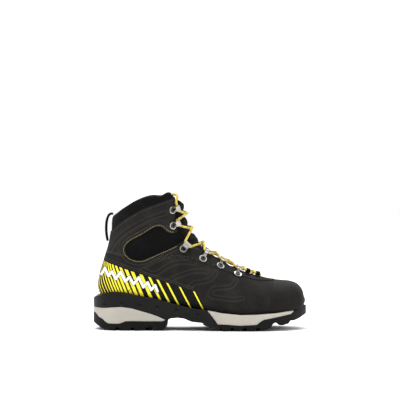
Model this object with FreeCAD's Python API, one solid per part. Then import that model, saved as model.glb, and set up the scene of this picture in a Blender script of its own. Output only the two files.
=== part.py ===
"""A right-foot mountaineering boot, mid height, laced and standing on its sole.

Millimetres. +X runs to the toe, +Z up, and the outer (lateral) side of the boot faces -Y.
The origin is on the ground, under the middle of the bounding box.

The foot and shaft share one lofted form. Its cross-sections lie in planes that hold the Y direction
and fan round the ankle: upright across the toes, slanting through the heel, level at the shaft.
Every layer of the upper is the space between two such forms at different depths, cut to its
panel's outline, so neighbouring pieces share faces and never overlap.
"""

import FreeCAD
import Part
import math
import os

Vec = FreeCAD.Vector
PARTS = "parts"

# --- Driving dimensions ---------------------------------------------------------------------------

SOLE_LENGTH = 305.0
HALF_LENGTH = SOLE_LENGTH / 2
REACH = 100.0            # half width of the cutting prisms, past both sides of the boot

# Depths of the layers below the outside of the leather. Negative is proud of it.
OVERLAY = -1.2           # outside of the toe cap, heel band, back stay and eyestays
LEATHER = 0.0
LEATHER_BACK = 2.0       # leather meets lining, stiffeners and tongue
STIFFENER_BACK = 3.2     # heel counter, toe puff and gussets end here
LINING_BACK = 5.0        # inside of the waterproof lining
PAD_FRONT = 0.5          # face of the padded tongue between the eyestays
PAD_BACK = 6.0           # back of the tongue and of the collar padding

LACE_RADIUS = 1.7
LACE_BEND = 7.0          # radius at a guide, where there is room for it
CROSS_UNDER = -2.4       # depth of the lower lace where two cross, and of the upper one
CROSS_OVER = -6.1
AGLET_RADIUS = 2.0
AGLET_LENGTH = 22.0

# Route of each free end of the lace, as x, distance from the middle plane and z: over the top of
# the tongue, down inside the shaft, and back along the footbed.
LACE_END_FIRST_RUN = 6.0
LACE_END = ((-31.0, 19.0, 190.0), (-38.5, 14.0, 193.2), (-45.5, 12.5, 187.5), (-47.0, 12.0, 174.0),
            (-46.0, 12.5, 152.0), (-46.5, 12.0, 127.0), (-46.0, 12.5, 102.0), (-48.5, 12.5, 78.0),
            (-54.0, 14.5, 58.5), (-67.0, 17.0, 48.0), (-83.0, 17.0, 48.6), (-100.0, 13.0, 50.7))

RING_RADIUS = 5.6        # round end of an eyelet or hook plate
PLATE = 1.2              # sheet thickness of the lace hardware
RIVET_RADIUS = 2.3
RIVET_HEAD_RADIUS = 3.9
RIVET_HEAD = 0.8
RIVET_BORE = 1.4
RIVET_DEPTH = 1.7        # how far a rivet goes into the leather
SWIVEL_GAP = 0.3         # under and over a swivelling eyelet
SWIVEL_CLEARANCE = 0.08  # round its rivet
SWIVEL_TURNS = (-5.0, -3.4, -1.7, 0.0, 1.7, 3.4, 5.0)     # degrees over which the lace stays clear
SLEEVE_AT = 12.2         # from an eyelet's rivet to the middle of its sleeve
SLEEVE_RADIUS = 3.6
SLEEVE_BORE = 2.8
SLEEVE_LENGTH = 5.0
SLEEVE_SPARE = 0.12      # between a turned sleeve and the lace

# Cross-sections of the form, from the toe tip over the heel to above the shaft.
# top x, top z, bottom x, bottom z, centre y, lateral half width, medial half width,
# height of the widest point as a share of the section, roundness above it, roundness below it
STATIONS = (
    (149.0, 44.0, 149.0, 36.0, 9.0, 9.0, 9.0, 0.50, 2.0, 2.0),
    (147.8, 51.0, 148.0, 30.0, 9.0, 20.0, 17.0, 0.45, 2.2, 2.4),
    (145.0, 57.5, 145.2, 27.5, 8.0, 30.0, 24.5, 0.42, 2.3, 2.8),
    (139.0, 63.5, 139.0, 25.0, 7.0, 37.5, 31.5, 0.40, 2.3, 3.0),
    (129.0, 67.3, 129.0, 22.8, 5.5, 43.5, 38.5, 0.38, 2.2, 3.2),
    (115.0, 68.8, 113.0, 20.5, 4.0, 47.5, 44.0, 0.37, 2.1, 3.4),
    (98.0, 71.0, 94.0, 18.6, 2.5, 50.0, 47.5, 0.36, 2.0, 3.4),
    (78.0, 76.0, 72.0, 17.3, 1.5, 51.0, 48.0, 0.35, 1.9, 3.4),
    (58.0, 83.5, 49.0, 17.0, 0.5, 50.0, 46.0, 0.35, 1.9, 3.3),
    (40.0, 92.0, 22.0, 18.5, 0.0, 47.0, 41.5, 0.36, 1.9, 3.1),
    (24.0, 102.0, -8.0, 22.0, 0.0, 43.5, 37.0, 0.37, 2.0, 2.9),
    (10.5, 112.0, -40.0, 27.0, 0.0, 40.5, 34.5, 0.38, 2.0, 2.8),
    (-1.0, 122.5, -75.0, 31.5, 0.0, 38.5, 35.0, 0.40, 2.1, 2.7),
    (-9.5, 132.5, -109.0, 34.5, 0.0, 37.5, 36.0, 0.42, 2.1, 2.6),
    (-15.5, 141.5, -135.0, 40.0, 0.0, 36.8, 36.0, 0.44, 2.2, 2.5),
    (-19.5, 150.0, -145.5, 58.0, 0.0, 36.2, 35.8, 0.46, 2.2, 2.4),
    (-22.0, 158.0, -143.5, 80.0, 0.0, 36.0, 35.8, 0.48, 2.2, 2.4),
    (-24.0, 167.0, -137.0, 101.0, 0.0, 36.4, 36.0, 0.50, 2.2, 2.4),
    (-25.5, 177.0, -130.5, 122.0, 0.0, 37.2, 36.8, 0.50, 2.2, 2.4),
    (-27.0, 189.0, -126.5, 146.0, 0.0, 38.2, 38.0, 0.50, 2.2, 2.4),
    (-28.5, 202.0, -123.5, 170.0, 0.0, 39.2, 39.0, 0.50, 2.2, 2.4),
    (-30.0, 216.0, -121.5, 194.0, 0.0, 40.2, 40.0, 0.50, 2.2, 2.4),
)
LAST_STATION = len(STATIONS) - 1
TOE_STATIONS = 4.0       # depth also moves the sections back over this many stations
HALF_RING = 16           # spans of the curve down one side of a cross-section
LEAST_HALF_SIZE = 1.2    # of a deep layer's section at the toe tip

# Side-view outlines, as (x, z) points from the heel to the toe.
RAND_LINE = ((-160.0, 40.0), (-147.5, 47.5), (-132.5, 52.6), (-115.0, 54.0), (-87.2, 49.1), (-57.0, 43.5),
             (-36.9, 37.5), (-11.7, 31.5), (10.0, 28.5), (33.2, 24.5), (57.0, 22.3), (80.6, 22.6),
             (104.4, 24.3), (134.2, 27.9), (142.5, 30.4), (160.0, 36.0))
FEATHER_LINE = ((-160.0, 56.0), (-145.0, 47.0), (-135.0, 44.5), (-120.0, 40.5), (-109.0, 38.5),
                (-75.0, 35.5), (-40.0, 31.0), (-8.0, 26.0), (22.0, 22.5), (49.0, 21.0), (72.0, 21.2),
                (94.0, 22.3), (113.0, 23.8), (129.0, 26.0), (140.0, 28.2), (160.0, 33.0))
COLLAR_SEAM = ((-160.0, 118.0), (-125.4, 141.6), (-113.6, 152.0), (-100.8, 160.8), (-82.5, 170.8),
               (-64.2, 178.1), (-42.2, 186.0), (0.0, 200.0))
COLLAR_TOP = ((-160.0, 136.0), (-122.7, 163.4), (-103.4, 177.1), (-80.5, 188.0), (-64.0, 191.0),
              (-53.0, 191.4), (-44.0, 195.5), (-37.0, 190.5), (-30.0, 176.0))
TONGUE_TOP = ((-70.0, 182.0), (-45.0, 186.5), (-33.0, 185.5), (-26.0, 180.5), (-10.0, 172.0), (40.0, 150.0),
              (100.0, 110.0))
TONGUE_BACK = ((-68.0, 230.0), (-68.0, 60.0), (-60.0, 0.0))
HEEL_BAND_TOP = ((-160.0, 107.0), (-138.0, 99.5), (-109.8, 89.1), (-87.9, 81.4), (-60.6, 72.6),
                 (-28.8, 62.3), (-5.0, 55.0), (30.0, 44.0))
HEEL_BAND_LIMIT = ((-200.0, 150.0), (-52.0, 150.0), (-5.0, 55.0), (12.0, 20.0), (12.0, 0.0), (-200.0, 0.0))
CUFF_SEAM = ((-160.0, 118.0), (-132.5, 108.0), (-121.7, 105.3), (-107.4, 102.6), (-92.0, 101.5),
             (-80.0, 106.0), (-60.0, 119.0), (-38.0, 127.5), (0.0, 146.0))
FLEX_PANEL = ((-104.4, 120.6), (-88.9, 131.6), (-73.3, 140.6), (-62.5, 146.6), (-56.9, 147.2), (-50.5, 143.5),
              (-44.1, 138.5), (-36.8, 137.5), (-28.0, 142.0), (0.0, 155.0), (0.0, 134.0),
              (-23.3, 125.7), (-38.7, 117.6), (-60.6, 108.3), (-74.9, 101.7), (-84.0, 99.0), (-92.5, 99.8),
              (-100.0, 102.8), (-105.0, 108.0), (-106.8, 114.8))
TOE_CAP_EDGE = ((110.0, 80.0), (106.0, 68.0), (102.0, 55.0), (100.0, 40.0), (97.0, 15.0))
COUNTER_EDGE = ((-60.0, 20.0), (-66.0, 60.0), (-85.0, 84.0), (-115.0, 96.0), (-160.0, 102.0))
PUFF_EDGE = ((112.0, 80.0), (108.0, 50.0), (104.0, 15.0))

# The steel shank, a strip under the foot: its underside (x, z), thickness and width.
SHANK_LINE = ((-112.0, 30.0), (-75.0, 27.0), (-40.0, 22.5), (-8.0, 17.5), (22.0, 14.0), (46.0, 12.7))
SHANK_PLATE = 2.0
SHANK_WIDTH = 30.0

# The throat, seen square to a plane at 45 degrees: distance up the throat and half width.
THROAT_PLANE = 84.0     # x + z of that plane, inside the form
THROAT = ((-8.0, 5.0), (0.0, 8.5), (20.0, 11.0), (40.0, 13.0), (60.0, 14.5), (75.0, 16.0), (90.0, 18.0),
          (105.0, 20.0), (120.0, 22.0), (150.0, 23.0), (190.0, 24.0))
THROAT_LIMIT = 34.0      # widest a strip beside the throat gets, so that it stays on the front
TONGUE_LAP = 9.0         # tongue under the eyestay on each side
GUSSET_WIDTH = 8.0
EYESTAY_WIDTH = 15.0

# Sole outline seen from above: x and y, starting behind the heel, along the lateral side first.
FOOTPRINT = ((-HALF_LENGTH, 1.0), (-148.5, -18.0), (-135.0, -33.0), (-108.0, -40.5), (-70.0, -41.5),
             (-30.0, -44.0), (0.0, -48.5), (30.0, -53.0), (60.0, -55.0), (88.0, -53.5), (112.0, -47.0),
             (131.0, -35.5), (145.0, -18.0), (HALF_LENGTH, 7.0), (146.5, 28.0), (133.0, 42.5), (110.0, 52.0),
             (84.0, 54.5), (58.0, 52.0), (30.0, 45.5), (0.0, 38.0), (-30.0, 35.5), (-70.0, 38.0),
             (-108.0, 40.5), (-135.0, 34.5), (-148.5, 20.0))

# Sole profiles seen from the side: (x, z) corners.
HEEL_TREAD = ((-156.0, 24.5), (-150.0, 24.4), (-147.0, 22.0), (-144.5, 18.5), (-138.5, 15.5), (-134.5, 11.9),
              (-130.5, 9.5), (-114.3, 9.5), (-105.3, 12.9), (-54.0, 12.9), (-49.0, 15.0), (-46.4, 14.4),
              (-46.0, 7.5), (-50.5, 2.6), (-54.0, 0.0), (-66.0, 0.0), (-71.2, 7.4), (-73.4, 7.4),
              (-68.6, 0.0), (-134.0, 0.0), (-142.0, 3.6), (-156.0, 12.0))
HEEL_WEDGE_TOP = ((-156.0, 32.0), (-139.5, 31.2), (-112.0, 33.4), (-97.2, 31.5), (-77.2, 25.8), (-61.0, 20.6),
                  (-49.0, 15.0))
ARCH_UNDERSIDE = ((-46.4, 14.4), (-42.0, 16.9), (-31.9, 17.9), (-21.9, 16.9), (-16.9, 14.5), (-11.7, 12.5),
                  (3.4, 11.3), (5.9, 7.9), (13.0, 5.4), (23.6, 6.0), (24.9, 9.6))
FOREFOOT_WEDGE_BACK = (14.2, 24.3)
FOREFOOT_WEDGE_BOTTOM = ((24.9, 9.6), (57.0, 7.7), (80.6, 9.0), (85.5, 13.2), (90.2, 16.0), (104.4, 18.4),
                         (129.3, 23.2), (134.2, 27.9))
FOREFOOT_TREAD_UNDER = ((160.0, 24.0), (150.8, 20.9), (140.0, 15.5), (132.9, 13.5), (128.2, 13.7),
                        (125.7, 9.6), (116.3, 7.4), (111.6, 8.2), (106.8, 12.0), (102.7, 9.6), (100.8, 5.4),
                        (96.0, 2.4), (78.0, 0.0), (29.0, 0.0), (28.0, 4.0), (23.6, 6.0))

HEEL_GROOVES = (-121.0, -100.0, -79.0)
FOREFOOT_GROOVES = (36.0, 54.0, 72.0, 90.0)
GROOVE_WIDTH = 5.0
GROOVE_DEPTH = 4.2
CHANNEL_WIDTH = 8.0

# Lace hardware: rivet centres in side view, from the toe up. Both sides have the same rows.
EYELET_RIVETS = ((53.6, 78.9), (28.8, 90.6), (4.0, 100.8))
LOCK_HOOK_RIVET = (-23.9, 114.8)
CUFF_HOOK_RIVETS = ((-38.7, 147.9), (-39.5, 170.0))
TOE_LOOP_STATIONS = (6.8, 7.5)
SIDES = {"lateral": 1, "medial": -1}

# Pull loop on the heel: the outer face of its tape in side view, from the collar down.
LOOP_LINE = ((-125.2, 165.0), (-129.6, 164.4), (-133.0, 159.5), (-135.0, 150.0), (-135.2, 140.0),
             (-134.4, 132.0), (-133.2, 126.0))
LOOP_WIDTH = 12.0
LOOP_END_WIDTH = 5.0
LOOP_TAPER = 9.0
LOOP_TAPE = 1.6


# --- The form -------------------------------------------------------------------------------------

def station(u):
    """The section's numbers at station u, smooth between the listed stations."""
    i = min(int(u), LAST_STATION - 1)
    t = u - i
    before, here = STATIONS[max(i - 1, 0)], STATIONS[i]
    after, beyond = STATIONS[i + 1], STATIONS[min(i + 2, LAST_STATION)]
    return [
        0.5 * (2 * b + (c - a) * t + (2 * a - 5 * b + 4 * c - d) * t * t + (3 * b - a - 3 * c + d) * t**3)
        for a, b, c, d in zip(before, here, after, beyond)
    ]


def form_point(u, angle, depth, side=1):
    """A point of the form. The angle runs from -90 degrees at the bottom or back to 90 at the top or
    front, on the lateral side (side 1) or the medial side (side -1)."""
    top_x, top_z, low_x, low_z, centre, lateral, medial, belly, above, below = station(u)
    height = math.hypot(top_x - low_x, top_z - low_z)
    up_x, up_z = (top_x - low_x) / height, (top_z - low_z) / height
    back = depth * max(0.0, 1 - u / TOE_STATIONS)
    across, along = math.cos(angle), math.sin(angle)
    half_width = max((lateral if across * side > 0 else medial) - depth, LEAST_HALF_SIZE)
    half_height = max(height * ((1 - belly) if along > 0 else belly) - depth, LEAST_HALF_SIZE)
    power = above if along > 0 else below
    radius = (abs(across / half_width) ** power + abs(along / half_height) ** power) ** (-1 / power)
    rise = height * belly + radius * along
    return Vec(low_x + up_x * rise - back, centre - side * radius * across, low_z + up_z * rise)


def section_side(u, depth, side):
    """One side of the cross-section at station u, from the bottom or back to the top or front. All
    sections share their knots, which keeps the loft light, and they are level where the sides meet."""
    span = math.pi / HALF_RING
    points = [form_point(u, k * span - math.pi / 2, depth, side) for k in range(HALF_RING + 1)]
    nudge = 0.01
    near_start = form_point(u, nudge * span - math.pi / 2, depth, side)
    near_end = form_point(u, math.pi / 2 - nudge * span, depth, side)
    start = Vec(0, (near_start.y - points[0].y) / nudge, 0)
    end = Vec(0, (points[-1].y - near_end.y) / nudge, 0)
    curve = Part.BSplineCurve()
    curve.interpolate(Points=points, Parameters=[float(k) for k in range(HALF_RING + 1)],
                      InitialTangent=start, FinalTangent=end, Scale=False)
    return curve.toShape()


def section(u, depth):
    """The closed cross-section at station u, as two edges."""
    return Part.Wire([section_side(u, depth, 1), section_side(u, depth, -1)])


def form(depth):
    """The whole foot and shaft as a solid, at a depth below the outside of the leather."""
    stations = [0.0, 0.5] + [float(i) for i in range(1, LAST_STATION + 1)]
    return Part.makeLoft([section(u, depth) for u in stations], True, False)


def surface_frame(u, angle, side, depth):
    """Origin on the form and unit vectors: across to the throat, up the throat, and outwards."""
    step = 0.01
    origin = form_point(u, angle, depth, side)
    to_throat = form_point(u, angle + step, depth, side) - form_point(u, angle - step, depth, side)
    upward = form_point(u + step, angle, depth, side) - form_point(u - step, angle, depth, side)
    to_throat.normalize()
    outward = to_throat.cross(upward) * side
    outward.normalize()
    up_throat = outward.cross(to_throat) * side
    return origin, to_throat, up_throat, outward


def locate(x, z, side, depth):
    """Station and angle of the form's point that shows at (x, z) from the side, by shrinking steps."""
    def miss(place_on_form):
        point = form_point(*place_on_form, depth, side)
        return math.hypot(point.x - x, point.z - z)

    u, angle = min(
        ((i * 0.5, math.radians(a)) for i in range(4, 2 * LAST_STATION) for a in range(-60, 86, 6)),
        key=miss,
    )
    step_u, step_angle = 0.25, math.radians(3)
    for _ in range(24):
        tries = [(u + i * step_u, angle + j * step_angle) for i in (-1, 0, 1) for j in (-1, 0, 1)]
        u, angle = min(tries, key=miss)
        step_u, step_angle = step_u * 0.7, step_angle * 0.7
    return u, angle


# --- Outlines and cutting prisms ------------------------------------------------------------------

def spline_edge(points):
    curve = Part.BSplineCurve()
    curve.interpolate(Points=points)
    return curve.toShape()


def line_edges(points):
    return [Part.makeLine(a, b) for a, b in zip(points, points[1:])]


def side_view(points):
    return [Vec(x, -REACH, z) for x, z in points]


def side_prism(edges):
    """A prism right across the boot, from edges in side view."""
    return Part.Face(Part.Wire(edges)).extrude(Vec(0, 2 * REACH, 0))


def prism_under(line, floor=-10.0):
    """Everything under a smooth side-view line."""
    points = side_view(line)
    corners = [points[-1], Vec(points[-1].x, -REACH, floor), Vec(points[0].x, -REACH, floor), points[0]]
    return side_prism([spline_edge(points)] + line_edges(corners))


def prism_over(line, ceiling=230.0):
    """Everything above a smooth side-view line."""
    return prism_under(line, ceiling)


def prism_beside(line, x_end):
    """Everything between a smooth, mostly upright side-view line and x_end."""
    points = side_view(line)
    corners = [points[-1], Vec(x_end, -REACH, points[-1].z), Vec(x_end, -REACH, points[0].z), points[0]]
    return side_prism([spline_edge(points)] + line_edges(corners))


def closed_spline_prism(line):
    curve = Part.BSplineCurve()
    curve.interpolate(Points=side_view(line), PeriodicFlag=True)
    return side_prism([curve.toShape()])


def corner_prism(corners):
    points = side_view(corners)
    return side_prism(line_edges(points + [points[0]]))


def throat_half_width(distance):
    """Half width of the throat opening at a distance up the throat."""
    for (d0, w0), (d1, w1) in zip(THROAT, THROAT[1:]):
        if distance <= d1:
            return w0 + (w1 - w0) * (distance - d0) / (d1 - d0)
    return THROAT[-1][1]


def throat_prism(widen, toe_end):
    """The throat, widened on each side, as a prism square to the 45-degree plane. It starts inside
    the form and runs out through the front; toe_end lengthens it towards the toe."""
    def on_plane(distance, y):
        x = (THROAT_PLANE - distance * math.sqrt(2)) / 2
        return Vec(x, y, THROAT_PLANE - x)

    first_distance, first_width = THROAT[0]
    rail = [(d, min(w + widen, THROAT_LIMIT)) for d, w in THROAT]
    left = [on_plane(d, -w) for d, w in rail]
    right = [on_plane(d, w) for d, w in rail]
    tip = on_plane(first_distance - toe_end, 0.0)
    nose = Part.Arc(left[0], tip, right[0]).toShape()
    far_end = Part.makeLine(right[-1], left[-1])
    outline = Part.Wire([nose, spline_edge(right), far_end, spline_edge(left[::-1])])
    return Part.Face(outline).extrude(Vec(80, 0, 80))


def half_space(side):
    """A box over the lateral (1) or medial (-1) half."""
    return Part.makeBox(500, REACH, 300, Vec(-250, -REACH if side == 1 else 0, -20))


def one(shape):
    """The shape's solids, without empty wrappers."""
    solids = [s for s in shape.Solids if s.Volume > 1.0]
    return solids[0] if len(solids) == 1 else Part.makeCompound(solids)


# --- Sole unit ------------------------------------------------------------------------------------

def footprint_prism():
    curve = Part.BSplineCurve()
    curve.interpolate(Points=[Vec(x, y, -5) for x, y in FOOTPRINT], PeriodicFlag=True)
    return Part.Face(Part.Wire(curve.toShape())).extrude(Vec(0, 0, 80))


def rand_points(low_x, high_x):
    return [(x, z) for x, z in RAND_LINE if low_x <= x <= high_x]


def groove(x, y, length, width, turn):
    """A tread groove up from the ground, centred at (x, y) and turned about Z."""
    cut = Part.makeBox(length, width, GROOVE_DEPTH + 5, Vec(-length / 2, -width / 2, -5))
    cut.rotate(Vec(0, 0, 0), Vec(0, 0, 1), turn)
    cut.translate(Vec(x, y, 0))
    return cut


def tread_grooves():
    """Grooves between the lugs: a channel down the middle and slanting bars out to both edges."""
    cuts = [groove(x, 0.0, length, CHANNEL_WIDTH, 0.0) for x, length in ((-90.0, 56.0), (64.0, 62.0))]
    for x in HEEL_GROOVES:
        cuts += [groove(x, side * 26.0, 50.0, GROOVE_WIDTH, side * 72.0) for side in (-1, 1)]
    for x in FOREFOOT_GROOVES:
        cuts += [groove(x, side * 32.0, 60.0, GROOVE_WIDTH, side * -68.0) for side in (-1, 1)]
    return cuts


def sole_parts(foot, shank):
    footprint = footprint_prism().cut(foot)
    heel_tread = footprint.common(corner_prism(HEEL_TREAD))
    heel_top_seam = HEEL_WEDGE_TOP + HEEL_TREAD[9:0:-1]
    heel_wedge = footprint.common(corner_prism(heel_top_seam + (HEEL_TREAD[0],)))
    rand = rand_points(-160.0, 10.0)
    frame_outline = tuple(rand) + (FOREFOOT_WEDGE_BACK,) + ARCH_UNDERSIDE[::-1] + HEEL_WEDGE_TOP[::-1]
    frame = footprint.common(corner_prism(frame_outline))
    wedge_outline = tuple(rand_points(10.0, 134.2)) + FOREFOOT_WEDGE_BOTTOM[-2::-1] + (FOREFOOT_WEDGE_BACK,)
    forefoot_wedge = footprint.common(corner_prism(wedge_outline))
    toe_rand = ((134.2, 27.9), (142.5, 30.4), (160.0, 36.0))
    tread_outline = toe_rand + FOREFOOT_TREAD_UNDER + FOREFOOT_WEDGE_BOTTOM[:-1]
    forefoot_tread = footprint.common(corner_prism(tread_outline))
    grooves = Part.makeCompound(tread_grooves())
    return {
        "heel_tread": heel_tread.cut(grooves),
        "heel_midsole": heel_wedge.cut(shank),
        "sole_frame": frame.cut(shank),
        "forefoot_midsole": forefoot_wedge.cut(shank),
        "forefoot_tread": forefoot_tread.cut(grooves),
    }


def shank_plate(foot):
    """The stiffening plate let into the top of the midsole, just under the lasting board."""
    over = [(x, z + SHANK_PLATE) for x, z in SHANK_LINE]
    under = list(SHANK_LINE)
    plate = side_prism([spline_edge(side_view(under)), Part.makeLine(*side_view([under[-1], over[-1]])),
                        spline_edge(side_view(over[::-1])), Part.makeLine(*side_view([over[0], under[0]]))])
    strip = Part.makeBox(180, SHANK_WIDTH, 60, Vec(-122, -SHANK_WIDTH / 2, 0))
    return plate.common(strip).cut(foot)


# --- Upper ----------------------------------------------------------------------------------------

def upper_parts(forms):
    leather = forms[LEATHER].cut(forms[LEATHER_BACK])
    overlay = forms[OVERLAY].cut(forms[LEATHER])
    stiffener = forms[LEATHER_BACK].cut(forms[STIFFENER_BACK])
    inner = forms[LEATHER_BACK].cut(forms[LINING_BACK])
    throat = throat_prism(0.0, 4.0)
    tongue_bed = throat_prism(TONGUE_LAP, 12.0)
    gusset_bed = throat_prism(TONGUE_LAP + GUSSET_WIDTH, 18.0)
    under_feather = prism_under(FEATHER_LINE)
    over_seam = prism_over(COLLAR_SEAM)
    over_top = prism_over(COLLAR_TOP)
    flex = closed_spline_prism(FLEX_PANEL)
    over_cuff_seam = prism_over(CUFF_SEAM)

    made = {"lasting_board": leather.common(under_feather)}
    shell = leather.cut(under_feather).cut(over_seam).cut(throat)
    panel = shell.common(flex)
    rest = shell.cut(flex)
    made["ankle_cuff"] = rest.common(over_cuff_seam)
    made["vamp"] = rest.cut(over_cuff_seam)
    for name, side in SIDES.items():
        made[f"flex_panel_{name}"] = panel.common(half_space(side))

    over_rand = prism_over(RAND_LINE)
    band = overlay.common(prism_under(HEEL_BAND_TOP)).common(over_rand)
    made["heel_band"] = band.common(corner_prism(HEEL_BAND_LIMIT))
    made["toe_cap"] = overlay.common(prism_beside(TOE_CAP_EDGE, 170.0)).common(over_rand)
    stay_strip = Part.makeBox(60, 18, 200, Vec(-170, -9, 0))
    made["back_stay"] = overlay.common(stay_strip).common(prism_over(HEEL_BAND_TOP)).cut(over_seam)
    eyestay = overlay.common(throat_prism(EYESTAY_WIDTH, 10.0)).cut(throat).cut(flex).cut(over_cuff_seam)
    for name, side in SIDES.items():
        made[f"eyestay_{name}"] = eyestay.common(half_space(side))

    made["heel_counter"] = stiffener.common(prism_beside(COUNTER_EDGE, -170.0)).cut(under_feather)
    made["toe_puff"] = stiffener.common(prism_beside(PUFF_EDGE, 170.0)).cut(under_feather)
    gussets = stiffener.common(gusset_bed).cut(tongue_bed).cut(over_cuff_seam).cut(made["toe_puff"])
    for name, side in SIDES.items():
        made[f"gusset_{name}"] = gussets.common(half_space(side))
    lining = inner.cut(tongue_bed).cut(over_seam)
    made["lining"] = lining.cut(made["heel_counter"]).cut(made["toe_puff"]).cut(gussets)

    tongue_limit = prism_under(TONGUE_TOP, -10.0).common(prism_beside(TONGUE_BACK, 170.0))
    face = forms[PAD_FRONT].cut(forms[LEATHER_BACK]).common(throat_prism(-0.3, 3.5))
    bed = forms[LEATHER_BACK].cut(forms[PAD_BACK]).common(tongue_bed)
    made["tongue"] = face.fuse(bed).common(tongue_limit)

    collar = forms[LEATHER].cut(forms[PAD_BACK]).common(over_seam).cut(over_top).cut(throat)
    made["collar"] = collar.cut(tongue_bed.common(forms[LEATHER_BACK]))

    bed_floor = prism_under([(x, z + 9.5) for x, z in FEATHER_LINE[1:-1]])
    made["footbed"] = forms[LINING_BACK].common(bed_floor)
    return made


# --- Lace hardware --------------------------------------------------------------------------------

def place(shape, frame):
    """Moves a piece from hardware axes (to the throat, up the throat, outwards) onto the form."""
    origin, a, b, n = frame
    if a.cross(b).dot(n) < 0:
        shape = shape.mirror(Vec(0, 0, 0), Vec(0, 1, 0))
        b = b * -1
    rows = [(a[i], b[i], n[i], origin[i]) for i in range(3)] + [(0, 0, 0, 1)]
    matrix = FreeCAD.Matrix(*[value for row in rows for value in row])
    moved = shape.copy()
    moved.transformShape(matrix, True)
    return moved


def rivet(plate_top):
    """A hollow rivet: shank into the leather, and a head with a rounded edge over the plate."""
    shank = Part.makeCylinder(RIVET_RADIUS, RIVET_DEPTH + plate_top, Vec(0, 0, -RIVET_DEPTH))
    head = Part.makeCylinder(RIVET_HEAD_RADIUS, RIVET_HEAD, Vec(0, 0, plate_top))
    head = head.makeFillet(RIVET_HEAD * 0.45, [e for e in head.Edges if e.BoundBox.ZMin > plate_top + 0.5])
    bore = Part.makeCylinder(RIVET_BORE, RIVET_DEPTH + plate_top, Vec(0, 0, 0.8 - RIVET_DEPTH))
    return shank.fuse(head).cut(bore).removeSplitter()


def cross_cylinder(radius, length, middle):
    """A cylinder along the piece's second axis, given its middle."""
    return Part.makeCylinder(radius, length, middle - Vec(0, length / 2, 0), Vec(0, 1, 0))


def eyelet_sleeve(spare=0.0):
    """The tube that the lace runs through, thicker by spare all over, and its bore."""
    middle = Vec(SLEEVE_AT, 0, SWIVEL_GAP + SLEEVE_RADIUS)
    sleeve = cross_cylinder(SLEEVE_RADIUS + spare, SLEEVE_LENGTH + 2 * spare, middle)
    return sleeve, cross_cylinder(SLEEVE_BORE - spare, SLEEVE_LENGTH + 2, middle)


def swivel_eyelet():
    """A flat ring that turns on its rivet, with a neck to a sleeve that the lace runs through."""
    low = SWIVEL_GAP
    ring = Part.makeCylinder(RING_RADIUS, PLATE, Vec(0, 0, low))
    neck = Part.makeBox(SLEEVE_AT, 4.4, PLATE, Vec(0, -2.2, low))
    sleeve, bore = eyelet_sleeve()
    hole = Part.makeCylinder(RIVET_RADIUS + SWIVEL_CLEARANCE, 5, Vec(0, 0, -1))
    return ring.fuse(neck).fuse(sleeve).cut(bore).cut(hole).removeSplitter()


def open_hook(width, leg):
    """A riveted hook: a ring plate whose tongue curls back over itself, open away from the throat."""
    inner, bend_at = 2.15, 8.0
    outer = inner + PLATE
    low = 0.05
    ring = Part.makeCylinder(RING_RADIUS - 0.4, PLATE, Vec(0, 0, low))
    base = Part.makeBox(bend_at, width, PLATE, Vec(0, -width / 2, low))
    middle = Vec(bend_at, 0, low + outer)
    bend = cross_cylinder(outer, width, middle).cut(cross_cylinder(inner, width, middle))
    bend = bend.common(Part.makeBox(outer + 1, width, 3 * outer, Vec(bend_at, -width / 2, low - 1)))
    top = Part.makeBox(leg, width, PLATE, Vec(bend_at - leg, -width / 2, low + outer + inner))
    hole = Part.makeCylinder(RIVET_RADIUS, 5, Vec(0, 0, -1))
    return ring.fuse(base).fuse(bend).fuse(top).cut(hole).removeSplitter()


def fabric_loop():
    """A folded tape loop that holds the lace near the toe, with its tail sewn to the eyestay."""
    inner, wall, width, at = 2.1, 0.9, 6.0, 3.5
    middle = Vec(at, 0, inner + wall + 0.05)
    ring = cross_cylinder(inner + wall, width, middle)
    tail = Part.makeBox(at + 6.0, width, wall, Vec(-6.0, -width / 2, 0.05))
    return ring.fuse(tail).cut(cross_cylinder(inner, width, middle)).removeSplitter()


def angle_at_width(u, width, side, depth):
    """The angle on the upper half of section u where the form is this far out from its middle."""
    low, high = 0.0, math.pi / 2
    middle = station(u)[4]
    for _ in range(30):
        mid = (low + high) / 2
        if abs(form_point(u, mid, depth, side).y - middle) > width:
            low = mid
        else:
            high = mid
    return low


def throat_distance(point):
    return (point.z - point.x) / math.sqrt(2)


def rivet_frames(rivet_at, depth):
    """The axes at a rivet's place on both sides."""
    frames = {}
    for name, side in SIDES.items():
        u, angle = locate(*rivet_at, side, depth)
        frames[name] = surface_frame(u, angle, side, depth)
    return frames


def lace_rows():
    """Every lace guide from the toe up: kind, frames by side, and the lace's centre in its axes."""
    rows = []
    for u in TOE_LOOP_STATIONS:
        frames = {}
        for name, side in SIDES.items():
            width = throat_half_width(throat_distance(form_point(u, math.pi / 2, 0.0))) + 3.2
            frames[name] = surface_frame(u, angle_at_width(u, width, side, OVERLAY), side, OVERLAY)
        rows.append(("toe_loop", frames, (3.5, 3.05), 3.6))
    for rivet_at in EYELET_RIVETS:
        rows.append(("eyelet", rivet_frames(rivet_at, OVERLAY), (12.2, 3.8), 3.4))
    rows.append(("lock_hook", rivet_frames(LOCK_HOOK_RIVET, OVERLAY), (8.0, 3.4), 5.0))
    for rivet_at in CUFF_HOOK_RIVETS:
        rows.append(("cuff_hook", rivet_frames(rivet_at, LEATHER), (8.0, 3.4), 4.2))
    return rows


# --- Lace -----------------------------------------------------------------------------------------

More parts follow.
